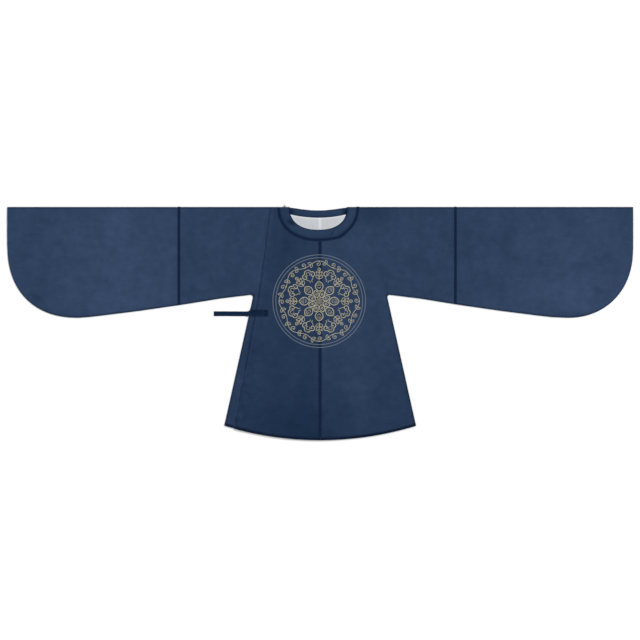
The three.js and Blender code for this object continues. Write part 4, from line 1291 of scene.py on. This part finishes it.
def stem_point(angle):
    reach = SCROLL_RADIUS + SCROLL_WAVE * np.cos(SCROLL_WAVES * angle)
    return plan_points(reach * np.cos(angle), reach * np.sin(angle))


# Running scroll: a waving stem with a curl in each of its bays, and two leaves before each.
gold_work.line(stem_point(circle), VEIN_WIDTH, True)
turn = np.linspace(0, 2 * math.pi * SCROLL_CURL["turns"], SCROLL_CURL["points"])
closed = (turn / turn[-1]) ** SCROLL_CURL["closing"]
reach = SCROLL_CURL["wide"] - SCROLL_CURL["inward"] * closed
for k in range(2 * SCROLL_WAVES):
    side = 1 if k % 2 else -1
    angle = math.pi * k / SCROLL_WAVES
    middle = np.array([SCROLL_RADIUS + side * SCROLL_CURL["aside"], SCROLL_CURL["ahead"]])
    curl = middle - plan_points(side * reach * np.cos(turn), reach * np.sin(turn))
    gold_work.line(turned_to(curl, angle), VEIN_WIDTH)
    knots.append(turned_to(middle, angle))
    root = angle - 0.5 * math.pi / SCROLL_WAVES
    near = SCROLL_LEAF["beside"]
    ahead = stem_point(root + near) - stem_point(root - near)
    for lean in (SCROLL_LEAF["lean"], -SCROLL_LEAF["lean"]):
        heading = math.atan2(ahead[1], ahead[0]) + math.radians(lean)
        leaf = turned_to(smooth_path(mirrored(LEAF), True) * SCROLL_LEAF["size"], heading)
        gold_work.line(leaf + stem_point(root), VEIN_WIDTH, True)

# Seeds of the flower, in the spiral of a seed head.
for k in range(SEEDS):
    reach, turn = SEED_SPREAD * math.sqrt(k + 0.5), k * GOLDEN_ANGLE
    knots.append((reach * math.cos(turn), reach * math.sin(turn)))


SATIN_PITCH, SATIN_RELIEF = 0.62, 0.0003


def satin_thread(name, colour, roughness):
    """Lustrous embroidery thread: close stitches across each line, from the distance along it, shown
    by painted shade between them and a raised relief.
    """
    finish = Finish(name, Roughness=roughness)
    place = finish.place()
    along = finish.node("Attribute", attribute_name="along").outputs["Fac"]
    uneven = finish.calculate("MULTIPLY", finish.noise(place, 500.0, 2.0), 5.0)
    phase = finish.calculate("MULTIPLY_ADD", along, 2 * math.pi / SATIN_PITCH, uneven)
    stitches = finish.calculate("MULTIPLY_ADD", finish.calculate("SINE", phase), 0.5, 0.5)
    clouds = finish.around_one(finish.noise(place, 60.0, 2.0), 0.22)
    shade = finish.calculate("MULTIPLY", finish.around_one(stitches, 0.12), clouds)
    finish.link(finish.scaled(colour, shade), "Base Color")
    finish.relief(stitches, 0.5, SATIN_RELIEF)
    return finish.material


def at_points(node, given):
    return node("GeometryNodeMeshToPoints", Mesh=given["Path"]), {}


gold = satin_thread("pale gold thread", (0.36, 0.335, 0.235), 0.5)
silver = satin_thread("silver-grey cord", (0.108, 0.140, 0.177), 0.6)
gold_lines = gold_work.piece("roundel_gold_lines", gold)
cord_rings = cord_work.piece("roundel_cord_rings", silver)
KNOT_LIFT = 0.25
knots = np.array(knots) + (ROUNDEL_X, ROUNDEL_Y)
knots = raised(knots, height_on(chest_surface, knots) + KNOT_LIFT)
knot_tree = bead_tree("seed knots", [("Width", "Float", 0.0026), ("Height", "Float", 0.0012)],
                      "Height", segments=10, rings=6, placed=at_points)
gold_knots = grown("roundel_knots", *knot_tree, knots, [], {"Thread": gold})
for piece in (gold_lines, cord_rings, gold_knots):
    dress(piece, "pale_thread")


# Ball button. A small grey metal ball with a short shank, sewn on at the end of the collar
# on the wearer's right shoulder.
BUTTON = {"x": -112.0, "y": 4.5, "radius": 4.0, "clear": 0.2, "rings": 17, "segments": 32}
SHANK = {"radius": 1.2, "length": 0.6, "rounding": 0.2}


def turned(name, profile, segments, place, material):
    """A solid turned about its own axis, which points along -y; the profile ends on the axis."""
    profile = np.array(profile)
    angle = np.linspace(0, 2 * math.pi, segments, endpoint=False)
    out, along = profile[1:-1, :1], profile[1:-1, 1:]
    rings = np.stack(np.broadcast_arrays(out * np.cos(angle), along, out * np.sin(angle)), -1)
    ends = [(0, profile[0, 1], 0), (0, profile[-1, 1], 0)]
    points = np.vstack([rings.reshape(-1, 3), ends]) + np.array(place)
    last = (len(rings) - 1) * segments
    total = last + segments
    faces = []
    for k in range(segments):
        after = (k + 1) % segments
        faces.append((total, after, k))
        faces.append((total + 1, last + k, last + after))
        for low in range(0, last, segments):
            faces.append((low + k, low + after, low + segments + after, low + segments + k))
    return mesh_object(name, points, faces, material, FINE_SHARP)


finish = Finish("grey metal", Base_Color=(0.70, 0.71, 0.70, 1), Metallic=0.7)
brushed = finish.noise(finish.place(), 900.0, 3.0)
finish.link(finish.calculate("MULTIPLY_ADD", brushed, 0.25, 0.35), "Roughness")
radius, shank = BUTTON["radius"], SHANK["radius"]
shank_end = -(radius + SHANK["length"])
around_ball = np.linspace(math.asin(shank / radius), math.pi, BUTTON["rings"] + 1)[:-1]
ball = [(radius * math.sin(turn), -radius * math.cos(turn)) for turn in around_ball]
profile = [(0, shank_end), (shank * 0.8, shank_end), (shank, shank_end + SHANK["rounding"]),
           *ball, (0, radius)]
place = (BUTTON["x"], BUTTON["y"], radius + BUTTON["clear"])
collar_button = turned("collar_button_ball", profile, BUTTON["segments"], place, finish.material)
dress(collar_button, "grey_metal", "collar_button")


# Floor, light and camera. A pale floor under the jacket, soft light from all round and a wide
# window light from one side; the camera looks straight down at the whole jacket.
CAMERA_LENS, CAMERA_SENSOR = 100.0, 36.0
PICTURE_SIDE = 2.0462
CAMERA_X, CAMERA_Y = -0.0006, 0.0069
FLOOR_HALF, FLOOR_DROP = 6.0, 0.0002
SOFT_LIGHT, WINDOW_LIGHT = 0.75, 1.74
WINDOW_ANGLE, WINDOW_HEADING = 20, (-0.62, -0.55, -0.9)
corners = [(-FLOOR_HALF, -FLOOR_HALF, 0), (FLOOR_HALF, -FLOOR_HALF, 0),
           (FLOOR_HALF, FLOOR_HALF, 0), (-FLOOR_HALF, FLOOR_HALF, 0)]
floor_mesh = bpy.data.meshes.new("floor")
floor_mesh.from_pydata(corners, [], [(0, 1, 2, 3)])
floor = bpy.data.objects.new("floor", floor_mesh)
bpy.context.collection.objects.link(floor)
floor.location.z = -FLOOR_DROP
floor_finish = Finish("pale floor", Base_Color=(0.93, 0.93, 0.93, 1), Roughness=0.9,
                      Specular_IOR_Level=0.1)
floor_mesh.materials.append(floor_finish.material)

world = bpy.data.worlds.new("soft light")
bpy.context.scene.world = world
world.use_nodes = True
background = world.node_tree.nodes["Background"]
background.inputs["Color"].default_value = (1, 1, 1, 1)
background.inputs["Strength"].default_value = SOFT_LIGHT
sun_data = bpy.data.lights.new("window light", "SUN")
sun_data.energy, sun_data.angle = WINDOW_LIGHT, math.radians(WINDOW_ANGLE)
sun = bpy.data.objects.new("window light", sun_data)
bpy.context.collection.objects.link(sun)
sun.rotation_euler = Vector(WINDOW_HEADING).to_track_quat("-Z", "Y").to_euler()

camera_data = bpy.data.cameras.new("camera")
camera_data.lens, camera_data.sensor_width = CAMERA_LENS, CAMERA_SENSOR
camera = bpy.data.objects.new("camera", camera_data)
bpy.context.collection.objects.link(camera)
camera.location = (CAMERA_X, CAMERA_Y, PICTURE_SIDE * CAMERA_LENS / CAMERA_SENSOR)
bpy.context.scene.camera = camera
bpy.context.scene.view_settings.view_transform = "Standard"

bpy.context.view_layer.update()
